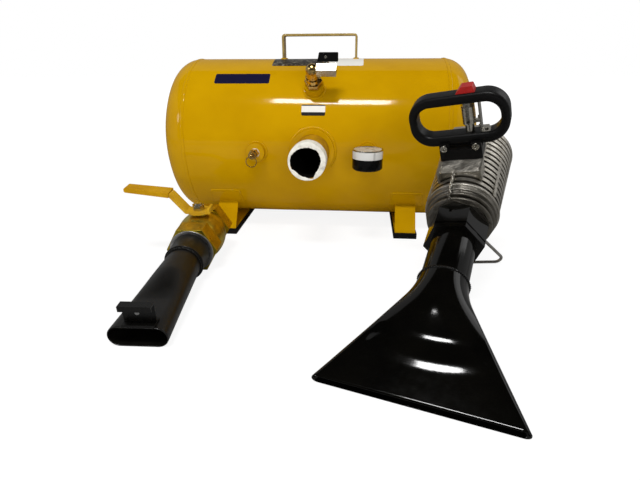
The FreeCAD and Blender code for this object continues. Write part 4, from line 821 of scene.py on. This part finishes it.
navyLabel = labelMaterial("navyLabel", {
    "base": (0.007, 0.006, 0.030), "steps": [], "speckScale": 300.0, "speckFrom": 0.6, "speckShare": 0.25,
    "speckColour": (0.02, 0.025, 0.12)}, 0.32)
topLabel = labelMaterial("topLabel", {
    "base": (0.020, 0.017, 0.014), "steps": [("X", 10.0, "GREATER_THAN", (0.80, 0.79, 0.74))],
    "speckScale": 260.0, "speckStretch": (0.5, 1, 1), "speckFrom": 0.53, "speckShare": 0.6,
    "speckColour": (0.42, 0.38, 0.28), "speckUntil": 10.0}, 0.3)
smallLabel = labelMaterial("smallLabel", {
    "base": (0.82, 0.80, 0.74), "steps": [("Z", filmHeight(25.4), "LESS_THAN", (0.012, 0.011, 0.010)),
                                          ("Z", filmHeight(29.7), "GREATER_THAN", (0.02, 0.02, 0.02))],
    "speckScale": 400.0, "speckFrom": 0.62, "speckShare": 0.2, "speckColour": (0.5, 0.48, 0.42)}, 0.4)

labels = {
    "sideLabel": (-182.0, -82.0, 47.0, 56.5, navyLabel), "topLabelPlate": (-84.0, 84.0, 67.0, 86.0, topLabel),
    "smallLabelPlate": (-20.6, 20.6, 23.1, 30.5, smallLabel),
}


def makeLabels():
    # A thin bent sheet: x runs along the tank, the angle up it, with its corners rounded by clipping both.
    for name, (x0, x1, low, high, material) in labels.items():
        u, v = np.linspace(0, 1, 49), np.linspace(0, 1, 17)
        x = x0 + (x1 - x0) * u[:, None] + 0 * v[None, :]
        corner = 2.0
        half = (high - low) * 1.309
        dx = np.minimum(x - x0, x1 - x)
        missing = corner - np.sqrt(np.clip(corner ** 2 - (corner - dx) ** 2, 0, None))
        squeeze = np.where(dx < corner, 1 - missing / half, 1)
        angle = np.radians((low + high) / 2 + (v[None, :] - 0.5) * (high - low) * squeeze)
        layers = []
        for r in (150.02, 150.30):
            layers.append(np.stack([x, -r * np.cos(angle), tank["axisZ"] + r * np.sin(angle)], -1).reshape(-1, 3))
        count = 49 * 17
        top, bottom = gridFaces(49, 17) + count, gridFaces(49, 17)
        rim = np.concatenate([np.arange(17), np.arange(1, 49) * 17 + 16, 48 * 17 + np.arange(15, -1, -1),
                              np.arange(47, 0, -1) * 17])
        nxt = np.roll(rim, -1)
        walls = np.stack([rim, nxt, nxt + count, rim + count], -1)
        faces = np.concatenate([bottom[:, ::-1], top, walls])
        obj = newPiece(name, np.concatenate(layers), faces, material, "tank", "label_blank")
    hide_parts("label_plates")


makeLabels()
print("label places made")


# Ball valve gun
one = (gunOneTurn, gunOneLip)
barrel = {
    "halfWidth": 36.5, "halfHeight": 14.0, "flat": 58.0, "blendEnd": 118.0, "radius": 25.4, "end": 192.5, "wall": 1.6,
    "around": 128, "lipRound": 0.8, "flareFrom": 4.0, "flareTo": 168.0,
}


def stadium(halfWidth, r, t):
    # Stadium outline by the share t of its length: two flats joined by half circles, from the left end of the top.
    a = halfWidth - r
    flat, arc = 2 * a, math.pi * r
    d = t * (2 * flat + 2 * arc)
    right, left = (d - flat) / r, (d - 2 * flat - arc) / r
    parts = [d < flat, d < flat + arc, d < 2 * flat + arc]
    x = np.select(parts, [d - a, a + r * np.sin(right), a - (d - flat - arc)], -a - r * np.sin(left))
    z = np.select(parts, [r + 0 * d, r * np.cos(right), 0 * d - r], -r * np.cos(left))
    return x, z


def matchedCircle(radius, halfWidth, halfHeight, t, split):
    # The circle point for each stadium point: flats become arcs of twice the split angle, ends the rest.
    a = halfWidth - halfHeight
    total = 4 * a + 2 * math.pi * halfHeight
    flat, arc = 2 * a / total, math.pi * halfHeight / total
    knots = np.array([0, flat, flat + arc, 2 * flat + arc, 1])
    angles = np.array([90 + split, 90 - split, -90 + split, -90 - split, -270 + split])
    w = np.radians(np.interp(t, knots, angles))
    return radius * np.cos(w), radius * np.sin(w)


def ruledTube(look, place, places, wide, high, split, press=None):
    # Ring by ring from the stadium lip to the matched circle, by one share for the width and one for the height;
    # the lip is rounded, a press shapes both broad faces, and the inside follows one wall in.
    t = np.linspace(0, 1, look["around"], endpoint=False)
    rings = []
    for inset, rim, order in ((0.0, 0.6, 1), (look["wall"], -0.6, -1)):
        for s, u, v in list(zip(places, wide, high))[::order]:
            cut = max(0.0, look["lipRound"] - s) * rim
            sx, sz = stadium(look["halfWidth"] - inset - cut, look["halfHeight"] - inset - cut, t)
            cx, cz = matchedCircle(look["radius"] - inset, look["halfWidth"], look["halfHeight"], t, split)
            x, z = sx * (1 - u) + cx * u, sz * (1 - v) + cz * v
            if press:
                z = z + np.sign(z) * press(x, s) * np.clip(np.abs(z) / 6.0, 0, 1)
            rings.append(np.stack([x, np.full(len(t), s), z], -1))
    return placed(np.concatenate(rings), *place), gridFaces(len(rings), len(t), True, True)


def collarBead(name, radius, s, wobble, count, width, height, place, material, body, pitch, ripple):
    # A bead round the item's own axis, its place going by three slow waves.
    a = np.linspace(0, 2 * math.pi, count, endpoint=False)
    ring = np.stack([radius * np.cos(a), s + wobble * np.sin(3 * a), radius * np.sin(a)], -1)
    normal = np.stack([np.cos(a), 0 * a, np.sin(a)], -1) @ place[0].T
    weldBead(name, placed(ring, *place), width, height, normal, material, body, pitch=pitch, ripple=ripple,
             slotName="gun_black")


def makeBarrel():
    # The width goes evenly along the tube, the height by a half smooth step between the flat part and the blend's end.
    flat, blend = barrel["flat"], barrel["blendEnd"]
    places = np.concatenate([[0, 0.3, 0.9], np.linspace(2, flat, 12), np.linspace(flat, blend, 26)[1:],
                             np.linspace(blend, barrel["end"], 14)[1:]])
    high = np.clip((places - flat) / (blend - flat), 0, 1)
    high = 0.5 * high + 0.5 * high * high * (3 - 2 * high)
    wide = np.clip((places - barrel["flareFrom"]) / (barrel["flareTo"] - barrel["flareFrom"]), 0, 1)
    newPiece("gunBarrel", *ruledTube(barrel, one, places, wide, high, 40), barrelBlack, "ball_valve_gun", "gun_black",
             ["barrel_tube"], sharp=35)


makeBarrel()
bush = [(170, 25.45), (170, 29.5), (173, 29.5), (173, 28.4), (208, 29.5), (208, 28.95), (232, 28.95), (232, 23.8),
        (193, 23.8), (193, 25.45)]
turnedPiece("reducingBush", bush, [0.3, 1.0, 1.0, 0.6, 0.3, 0, 0.8, 0, 0, 0], one, barrelBlack, "ball_valve_gun",
            "gun_black", ["reducing_bush"], 96)
collarBead("bushWeld", 25.9, 169.6, 0.0, 220, 3.0, 1.6, one, barrelBlack, "ball_valve_gun", 2.6, 0.25)
turnedPiece("threadWasher", [(208, 29.05), (208, 34.3), (210, 34.3), (210, 29.05)], [0.3, 0.7, 0.7, 0.3], one,
            washerZinc, "ball_valve_gun", "steel_pipe", ["thread_washer"], 96)
dressedCopy("valveEndHex", "ball_valve_end", valveBrass, "valve_brass", 1.6, 4)
dressedCopy("valveBody", "ball_valve_body", valveBrass, "valve_brass", 1.6, 4, sharp=28, limit=28)
for row in (
    ("valveSeats", "ball_seats", sealWhite, "seal_white", 0.3, 2),
    ("valveBall", "valve_ball", nickel, "nickel", 0.4, 2),
    ("valveStem", "valve_stem", nickel, "nickel", 0.5, 2),
    ("stemGland", "gland_nut", nickel, "nickel", 0.4, 2),
    ("leverNut", "lever_nut", nickel, "nickel", 0.8, 3),
):
    dressedCopy(*row)
lever = {"kneeX": -18.0, "riseX": -42.0, "tipX": -118.0, "middle": 268.0, "drop": 6.0, "shorten": 0.95, "taper": 0.22}
hook = {"base": 14.0, "depthShare": 0.70, "heightShare": 0.92, "leftShare": 0.82}


def bentLever(p):
    # Past the knee the arm lies lower, is a little shorter, and narrows evenly towards its tip.
    x, s, z = p.T.copy()
    past = np.clip((lever["kneeX"] - x) / (lever["kneeX"] - lever["riseX"]), 0, 1)
    share = np.clip((lever["riseX"] - x) / (lever["riseX"] - lever["tipX"]), 0, 1)
    z = z - lever["drop"] * past
    s = lever["middle"] + (s - lever["middle"]) * (1 - lever["taper"] * share)
    x = np.where(x < lever["riseX"], lever["riseX"] + (x - lever["riseX"]) * lever["shorten"], x)
    return np.stack([x, s, z], -1)


def slimHook(p):
    # The hook's depth, height and left half, each times its own share.
    x, s, z = p.T
    return np.stack([np.where(x < 0, x * hook["leftShare"], x), s * hook["depthShare"],
                     hook["base"] + (z - hook["base"]) * hook["heightShare"]], -1)


reshaped(dressedCopy("valveLever", "ball_lever", leverPaint, "lever_steel", 0.7, 3), one, bentLever)
reshaped(dressedCopy("leverGrip", "lever_grip", vinylGrip, "lever_yellow", 3.0, 6), one, bentLever)
reshaped(dressedCopy("rimHook", "rim_hook", hookBlack, "gun_black", 0.8, 3), one, slimHook)
reshaped(dressedCopy("hookRivet", "hook_rivet", washerZinc, "nickel", 0.5, 3), one, slimHook)
print("ball valve gun made")

# Trigger gun
two = (gunTwoTurn, gunTwoLip)
rolled = (gunTwoRolled, gunTwoLip)
fan = {
    "halfWidth": 106.0, "halfHeight": 6.5, "length": 142.0, "radius": 30.0, "wall": 1.5, "around": 192, "along": 96,
    "lipRound": 1.0, "easeFrom": 122.0, "easeDepth": 0.0000880, "neckEnd": 160.0,
}


press = {
    "front": 31.0, "rear": 73.0, "frontFlank": 13.0, "rearFlank": 9.0, "flank": 9.0, "rearHalf": 55.0, "spread": 0.30,
    "sunk": -1.05, "raised": 1.30, "bow": 0.0030, "knob": 2.5, "knobX": -1.0, "knobS": 106.5, "knobSize": 8.5,
    "stepRear": 8.0, "stepLoss": 20.0,
}


def fanPress(x, s):
    # Height of the pressed panel on the fan's faces: sunk at its rear, raised at its front, with soft flanks,
    # and a small round swelling between the panel and the neck.
    soft = lambda v: np.clip(v, 0, 1) ** 2 * (3 - 2 * np.clip(v, 0, 1))
    front, rear = press["front"], press["rear"]
    knob = np.exp(-((x - press["knobX"]) ** 2 + (s - press["knobS"]) ** 2) / (2 * press["knobSize"] ** 2))
    s = s - press["bow"] * x ** 2
    step = soft((rear - press["stepRear"] - s) / (rear - front - press["stepLoss"]))
    level = press["sunk"] + (press["raised"] - press["sunk"]) * step
    inside = soft((press["rearHalf"] + (rear - s) * press["spread"] - np.abs(x)) / press["flank"])
    ends = soft((s - front) / press["frontFlank"]) * soft((rear - s) / press["rearFlank"])
    return level * inside * ends + press["knob"] * knob


def makeFan():
    # The share of the place along the tube serves both width and height, and eases into the neck at its end.
    s = np.concatenate([[0, 0.4, 1.0], np.linspace(2.5, fan["neckEnd"], fan["along"])])
    share = np.where(s < fan["easeFrom"], s / fan["length"], 1 - fan["easeDepth"] * (fan["neckEnd"] + 2 - s) ** 2)
    newPiece("fanNozzle", *ruledTube(fan, two, s, share, share, 60, fanPress), gunBlack, "trigger_gun", "gun_black",
             ["fan_nozzle"], sharp=45)
    collarBead("neckWeld", 29.4, 160.6, 0.3, 260, 3.4, 1.9, two, gunBlack, "trigger_gun", 2.8, 0.28)


makeFan()
turnedPiece("nozzleTube", [(146, 26.5), (146, 28.5), (250, 28.5), (250, 30.9), (256, 30.9), (256, 26.5)],
            [0.3, 0.3, 0, 0.4, 0.4, 0.3], two, gunBlack, "trigger_gun", "gun_black", ["nozzle_tube"], 96)
for row in (
    ("unionNut", "union_nut", gunBlack, "gun_black", 1.2, 3),
    ("rearBush", "rear_port_bush", castAluminium, "cast_aluminium", 0.8, 3),
    ("seatRing", "seat_ring", sealWhite, "seal_white", 0.3, 2),
    ("pistonSpring", "piston_spring", spotSteel, "spring_steel", 0.0),
    ("valvePiston", "piston", castAluminium, "cast_aluminium", 0.5, 2),
    ("handleBlock", "handle_block", blackPlastic, "black_plastic", 1.0, 3),
    ("handleBolts", "handle_bolts", nickel, "nickel", 0.6, 3),
):
    dressedCopy(*row)
button = {"middle": 13.0, "wide": 0.84, "top": 151.0, "drop": 4.1, "high": 0.78}


def lowButton(p):
    # Narrower about its own middle, lower above the handle's top, and moved down with the handle.
    x, s, z = p.T
    return np.stack([button["middle"] + (x - button["middle"]) * button["wide"], s,
                     button["top"] - button["drop"] + (z - button["top"]) * button["high"]], -1)


reshaped(dressedCopy("triggerButton", "trigger_button", buttonRed, "button_red", 1.2, 4), rolled, lowButton)
for row in (
    ("pilotBody", "pilot_body", nickel, "nickel", 0.6, 3),
    ("pilotBracket", "pilot_bracket", nickel, "cast_aluminium", 0.4, 2),
    ("bracketScrews", "bracket_screws", nickel, "nickel", 0.5, 3),
    ("pilotPlunger", "pilot_plunger", nickel, "nickel", 0.3, 2),
    ("gunHousing", "gun_housing", castAluminium, "cast_aluminium", 0.9, 2),
):
    dressedCopy(*row)

casting = {
    "first": 273.0, "last": 296.0, "count": 4, "firstRadius": 43.0, "lastRadius": 49.5, "height": 4.5, "width": 3.4,
    "seamX": -7.0, "seamPlaces": [270, 285, 302, 321], "seamRadii": [42.0, 46.5, 51.3, 51.6],
}


def makeCastRings():
    # Low ridges round the casting's front shoulder, at even places, their radius growing evenly; a rough parting
    # line runs over them.
    places = np.linspace(casting["first"], casting["last"], casting["count"])
    radii = np.linspace(casting["firstRadius"], casting["lastRadius"], casting["count"])
    for k, (s, r) in enumerate(zip(places, radii)):
        w, low = casting["width"], r - casting["height"]
        profile = [(s - 0.4, low), (s, r), (s + w, r + 0.6), (s + w + 0.8, low)]
        turnedPiece("castRing" + str(k), profile, [0, 1.2, 1.2, 0], rolled, castAluminium, "trigger_gun",
                    "cast_aluminium", (), 120)
    along = np.linspace(270.0, 321.0, 160)
    height = np.interp(along, casting["seamPlaces"], casting["seamRadii"])
    height += 0.5 * np.sin(along * 1.7) + 0.4 * np.sin(along * 0.61)
    x = casting["seamX"] + 0.8 * np.sin(along * 0.9) + 0.5 * np.sin(along * 2.3)
    path = placed(np.stack([x, along, height], -1), *rolled)
    up = np.broadcast_to(gunTwoRolled @ np.array([0.0, 0.0, 1.0]), path.shape)
    weldBead("castSeam", path, 3.2, 1.6, up, castAluminium, "trigger_gun", closed=False, ripple=0.3, pitch=5.5,
             slotName="cast_aluminium")


def shadeGrooves(material, at, along, low, high, share):
    # Distance from the casting's axis, as the length of a cross product: the lower it is, the darker the metal.
    tree = material.node_tree
    shader = tree.nodes["Principled BSDF"]
    offset = nodeOf(tree, "VectorMath", objectPlace(tree), tuple(at * mm), operation="SUBTRACT")
    across = nodeOf(tree, "VectorMath", offset, tuple(along), operation="CROSS_PRODUCT")
    length = nodeOf(tree, "VectorMath", across, operation="LENGTH")
    depth = nodeOf(tree, "MapRange", length, low * mm, high * mm, share, 0.0)
    metal = shader.inputs["Base Color"].links[0].from_socket
    setInputs(tree, shader, {"Base Color": mixColours(tree, depth, metal, (0.06, 0.052, 0.04))})


makeCastRings()
shadeGrooves(castAluminium, gunTwoLip, gunTwoTurn @ np.array([0.0, 1.0, 0.0]), 46.5, 50.5, 0.75)
print("trigger gun metal made")

handle = {"s": 350.0, "depth": 24.0, "halfWidth": 65.0, "low": 75.5, "high": 147.0, "corner": 30.0, "side": 11.0,
          "top": 13.5, "bottom": 15.0, "edge": 4.5}


def withFlats(line, corners, steps, count):
    # The flats between the arcs get their own points, the same number on every outline.
    parts = []
    for k in range(corners):
        arc = line[k * steps:(k + 1) * steps]
        share = np.linspace(0, 1, count, endpoint=False)[1:, None]
        parts += [arc, arc[-1] * (1 - share) + line[((k + 1) * steps) % len(line)] * share]
    return np.concatenate(parts)


def makeHandle():
    # Ring between two rounded rectangles; its section is a rounded rectangle, as deep as the handle all round.
    wide, low, high, steps = handle["halfWidth"], handle["low"], handle["high"], 24
    thin, floor, roof = wide - handle["side"], low + handle["bottom"], high - handle["top"]
    o = roundedCorners([(-wide, low), (-wide, high), (wide, high), (wide, low)], [handle["corner"]] * 4, steps)
    i = roundedCorners([(-thin, floor), (-thin, roof), (thin, roof), (thin, floor)],
                       [handle["corner"] - handle["side"]] * 4, steps)
    o, i = withFlats(o, 4, steps, 16), withFlats(i, 4, steps, 16)
    middle, half = (o + i) / 2, np.linalg.norm(o - i, axis=1) / 2
    out = (o - i) / (2 * half[:, None])
    deep, e = handle["depth"] / 2, handle["edge"]
    rows = []
    for su, sv, shift in ((1, 1, 0), (-1, 1, 90), (-1, -1, 180), (1, -1, 270)):
        rows += [(su, sv, e * math.cos(a), e * math.sin(a)) for a in np.radians(np.linspace(0, 90, 7) + shift)]
    su, sv, cu, cv = np.array(rows).T
    u = su * (half[:, None] - e) + cu
    x, z = middle[:, :1] + out[:, :1] * u, middle[:, 1:] + out[:, 1:] * u
    y = handle["s"] + deep + np.broadcast_to(sv * (deep - e) + cv, u.shape)
    points = placed(np.stack([x, y, z], -1).reshape(-1, 3), *rolled)
    newPiece("dHandle", points, gridFaces(len(o), len(rows), True, True), blackPlastic, "trigger_gun", "black_plastic",
             ["d_handle"], sharp=60)


makeHandle()

stand = {"radius": 2.4, "bend": 8.0}


def makeStand():
    # Closed wire loop through the hinge and its two feet, its corners rounded in their own planes.
    apex = placed(np.array([[1.0, 333.0, -56.0]]), *two)[0]
    right, left = np.array([327.0, -240.5, 2.4]), np.array([190.0, -257.0, 2.4])
    along = np.array([131.0, 16.0, 0.0])
    along /= np.linalg.norm(along)
    radii = [3.0, 3.0, stand["bend"], stand["bend"]]
    path = densify(roundedCorners([apex - along * 11, apex + along * 11, right, left], radii, 9), 3.0)
    normal = np.cross(right - apex, left - apex)
    grid = tubePath(path, stand["radius"], 16, normal / np.linalg.norm(normal))
    newPiece("wireStand", grid.reshape(-1, 3), gridFaces(len(path), 16, True, True), spotSteel, "wire_stand",
             "spring_steel", ["wire_stand"], sharp=80)


makeStand()
print("handle and stand made")

# Camera at the photograph's place
view = {"at": (0.08685, -0.95427, 0.31557), "yaw": 0.0927, "pitch": 0.3783, "roll": -0.0049, "lens": 25.94}


def makeCamera():
    # Forward from yaw and pitch; right and up turned by the roll about it.
    yaw, pitch, roll = view["yaw"], view["pitch"], view["roll"]
    forward = np.array([-math.sin(yaw) * math.cos(pitch), math.cos(yaw) * math.cos(pitch), -math.sin(pitch)])
    right = np.array([math.cos(yaw), math.sin(yaw), 0.0])
    up = np.cross(right, forward)
    r2 = right * math.cos(roll) + up * math.sin(roll)
    u2 = -right * math.sin(roll) + up * math.cos(roll)
    data = bpy.data.cameras.new("photoCamera")
    data.lens, data.sensor_width, data.sensor_fit = view["lens"], 36.0, "HORIZONTAL"
    data.clip_start, data.clip_end = 0.01, 50.0
    camera = linked("photoCamera", data)
    turn = Matrix((tuple(r2), tuple(u2), tuple(-forward))).transposed()
    camera.matrix_world = Matrix.Translation(view["at"]) @ turn.to_4x4()
    bpy.context.scene.camera = camera


makeCamera()

# Studio: floor, lamps, world, and dark cards that only gloss sees
studio = {
    "floorSize": 14.0, "floorGlow": 0.80, "floorWhite": 1.10, "ambient": 0.34, "keyPower": 56.0,
    "keySize": (0.98, 0.36), "keyAt": (-0.184, -1.69, 3.0), "fillPower": 3.0, "sidePower": 4.0, "frontPower": 15.0,
    "whiteFrom": 0.55, "whiteTo": 1.15, "floorGloss": 0.35,
}


def cardSheet(name, corners, materialName, look):
    # A flat sheet of one plain material.
    mesh = bpy.data.meshes.new(name)
    mesh.from_pydata(corners, [], [(0, 1, 2, 3)])
    material, tree, shader = blankMaterial(materialName)
    setInputs(tree, shader, {"Base Color": (*look["colour"], 1), "Roughness": look["rough"], "Specular IOR Level": 0.0})
    mesh.materials.append(material)
    return linked(name, mesh), tree, shader


def makeFloor():
    # Pale sheet: to the camera mostly white, with a share of its real shading near the object so that shadows stay;
    # gloss sees it darker, a painted dimming of its reflection in the object.
    half = studio["floorSize"] / 2
    corners = [(-half, -half, 0), (half, -half, 0), (half, half, 0), (-half, half, 0)]
    floor, tree, shader = cardSheet("floor", corners, "paleFloor", {"colour": (0.86, 0.86, 0.86), "rough": 0.9})
    path = tree.nodes.new("ShaderNodeLightPath").outputs
    length = nodeOf(tree, "VectorMath", objectPlace(tree), operation="LENGTH")
    away = nodeOf(tree, "MapRange", length, studio["whiteFrom"], studio["whiteTo"], studio["floorGlow"])
    seen = nodeOf(tree, "Math", path["Is Camera Ray"], away, operation="MULTIPLY")
    white = nodeOf(tree, "Emission", (1, 1, 1, 1), studio["floorWhite"])
    shown = nodeOf(tree, "MixShader", seen, shader.outputs[0], white)
    # Glossy rays see the floor partly black: painted shade in its reflection.
    dimmed = nodeOf(tree, "Math", path["Is Glossy Ray"], 1 - studio["floorGloss"], operation="MULTIPLY")
    dark = nodeOf(tree, "Emission", (1, 1, 1, 1), 0.0)
    surface = nodeOf(tree, "MixShader", dimmed, shown, dark)
    setInputs(tree, tree.nodes["Material Output"], {"Surface": surface})


def makeWorld():
    # White where the camera or glass looks; a plain soft level for the light on the object and in its gloss.
    world = bpy.data.worlds.new("studioWorld")
    bpy.context.scene.world = world
    world.use_nodes = True
    tree = world.node_tree
    path = tree.nodes.new("ShaderNodeLightPath").outputs
    total = nodeOf(tree, "Math", path["Is Camera Ray"], path["Is Transmission Ray"], operation="ADD")
    total.node.use_clamp = True
    level = nodeOf(tree, "MapRange", total, 0.0, 1.0, studio["ambient"], 1.0)
    setInputs(tree, tree.nodes["Background"], {"Color": (1, 1, 1, 1), "Strength": level})


def addLamp(name, at, aim, size, power):
    # A rectangular area lamp that looks from its place to its aim.
    data = bpy.data.lights.new(name, "AREA")
    data.shape, data.size, data.size_y, data.energy = "RECTANGLE", size[0], size[1], power
    lamp = linked(name, data)
    lamp.location = at
    lamp.rotation_euler = (Vector(aim) - Vector(at)).to_track_quat("-Z", "Y").to_euler()
    return lamp


def addCard(name, corners):
    # A dark card that only reflections see, so that bright metal has something dark to show.
    card, tree, shader = cardSheet(name, corners, name + "Cloth", {"colour": (0.01, 0.01, 0.01), "rough": 1.0})
    card.visible_camera = card.visible_diffuse = card.visible_shadow = card.visible_transmission = False


makeFloor()
makeWorld()
addLamp("keyLamp", studio["keyAt"], (0.0, -0.1, 0.2), studio["keySize"], studio["keyPower"])
addLamp("fillLamp", (-1.6, -1.4, 1.2), (0.0, -0.3, 0.1), (0.3, 0.4), studio["fillPower"])
addLamp("sideLamp", (1.8, 0.6, 1.6), (0.0, 0.0, 0.15), (1.0, 1.0), studio["sidePower"])
frontLamp = addLamp("frontLamp", (0.7, -2.4, 0.6), (0.05, -0.2, 0.12), (1.4, 0.8), studio["frontPower"])
frontLamp.visible_glossy = False
addCard("topCard", [(-3.4, -3.2, 3.3), (3.4, -3.2, 3.3), (3.4, 1.6, 3.3), (-3.4, 1.6, 3.3)])
addCard("rearCard", [(-3.4, -3.2, 0.3), (3.4, -3.2, 0.3), (3.4, -3.2, 3.3), (-3.4, -3.2, 3.3)])
print("studio made")

bpy.context.scene.view_settings.view_transform = "Standard"
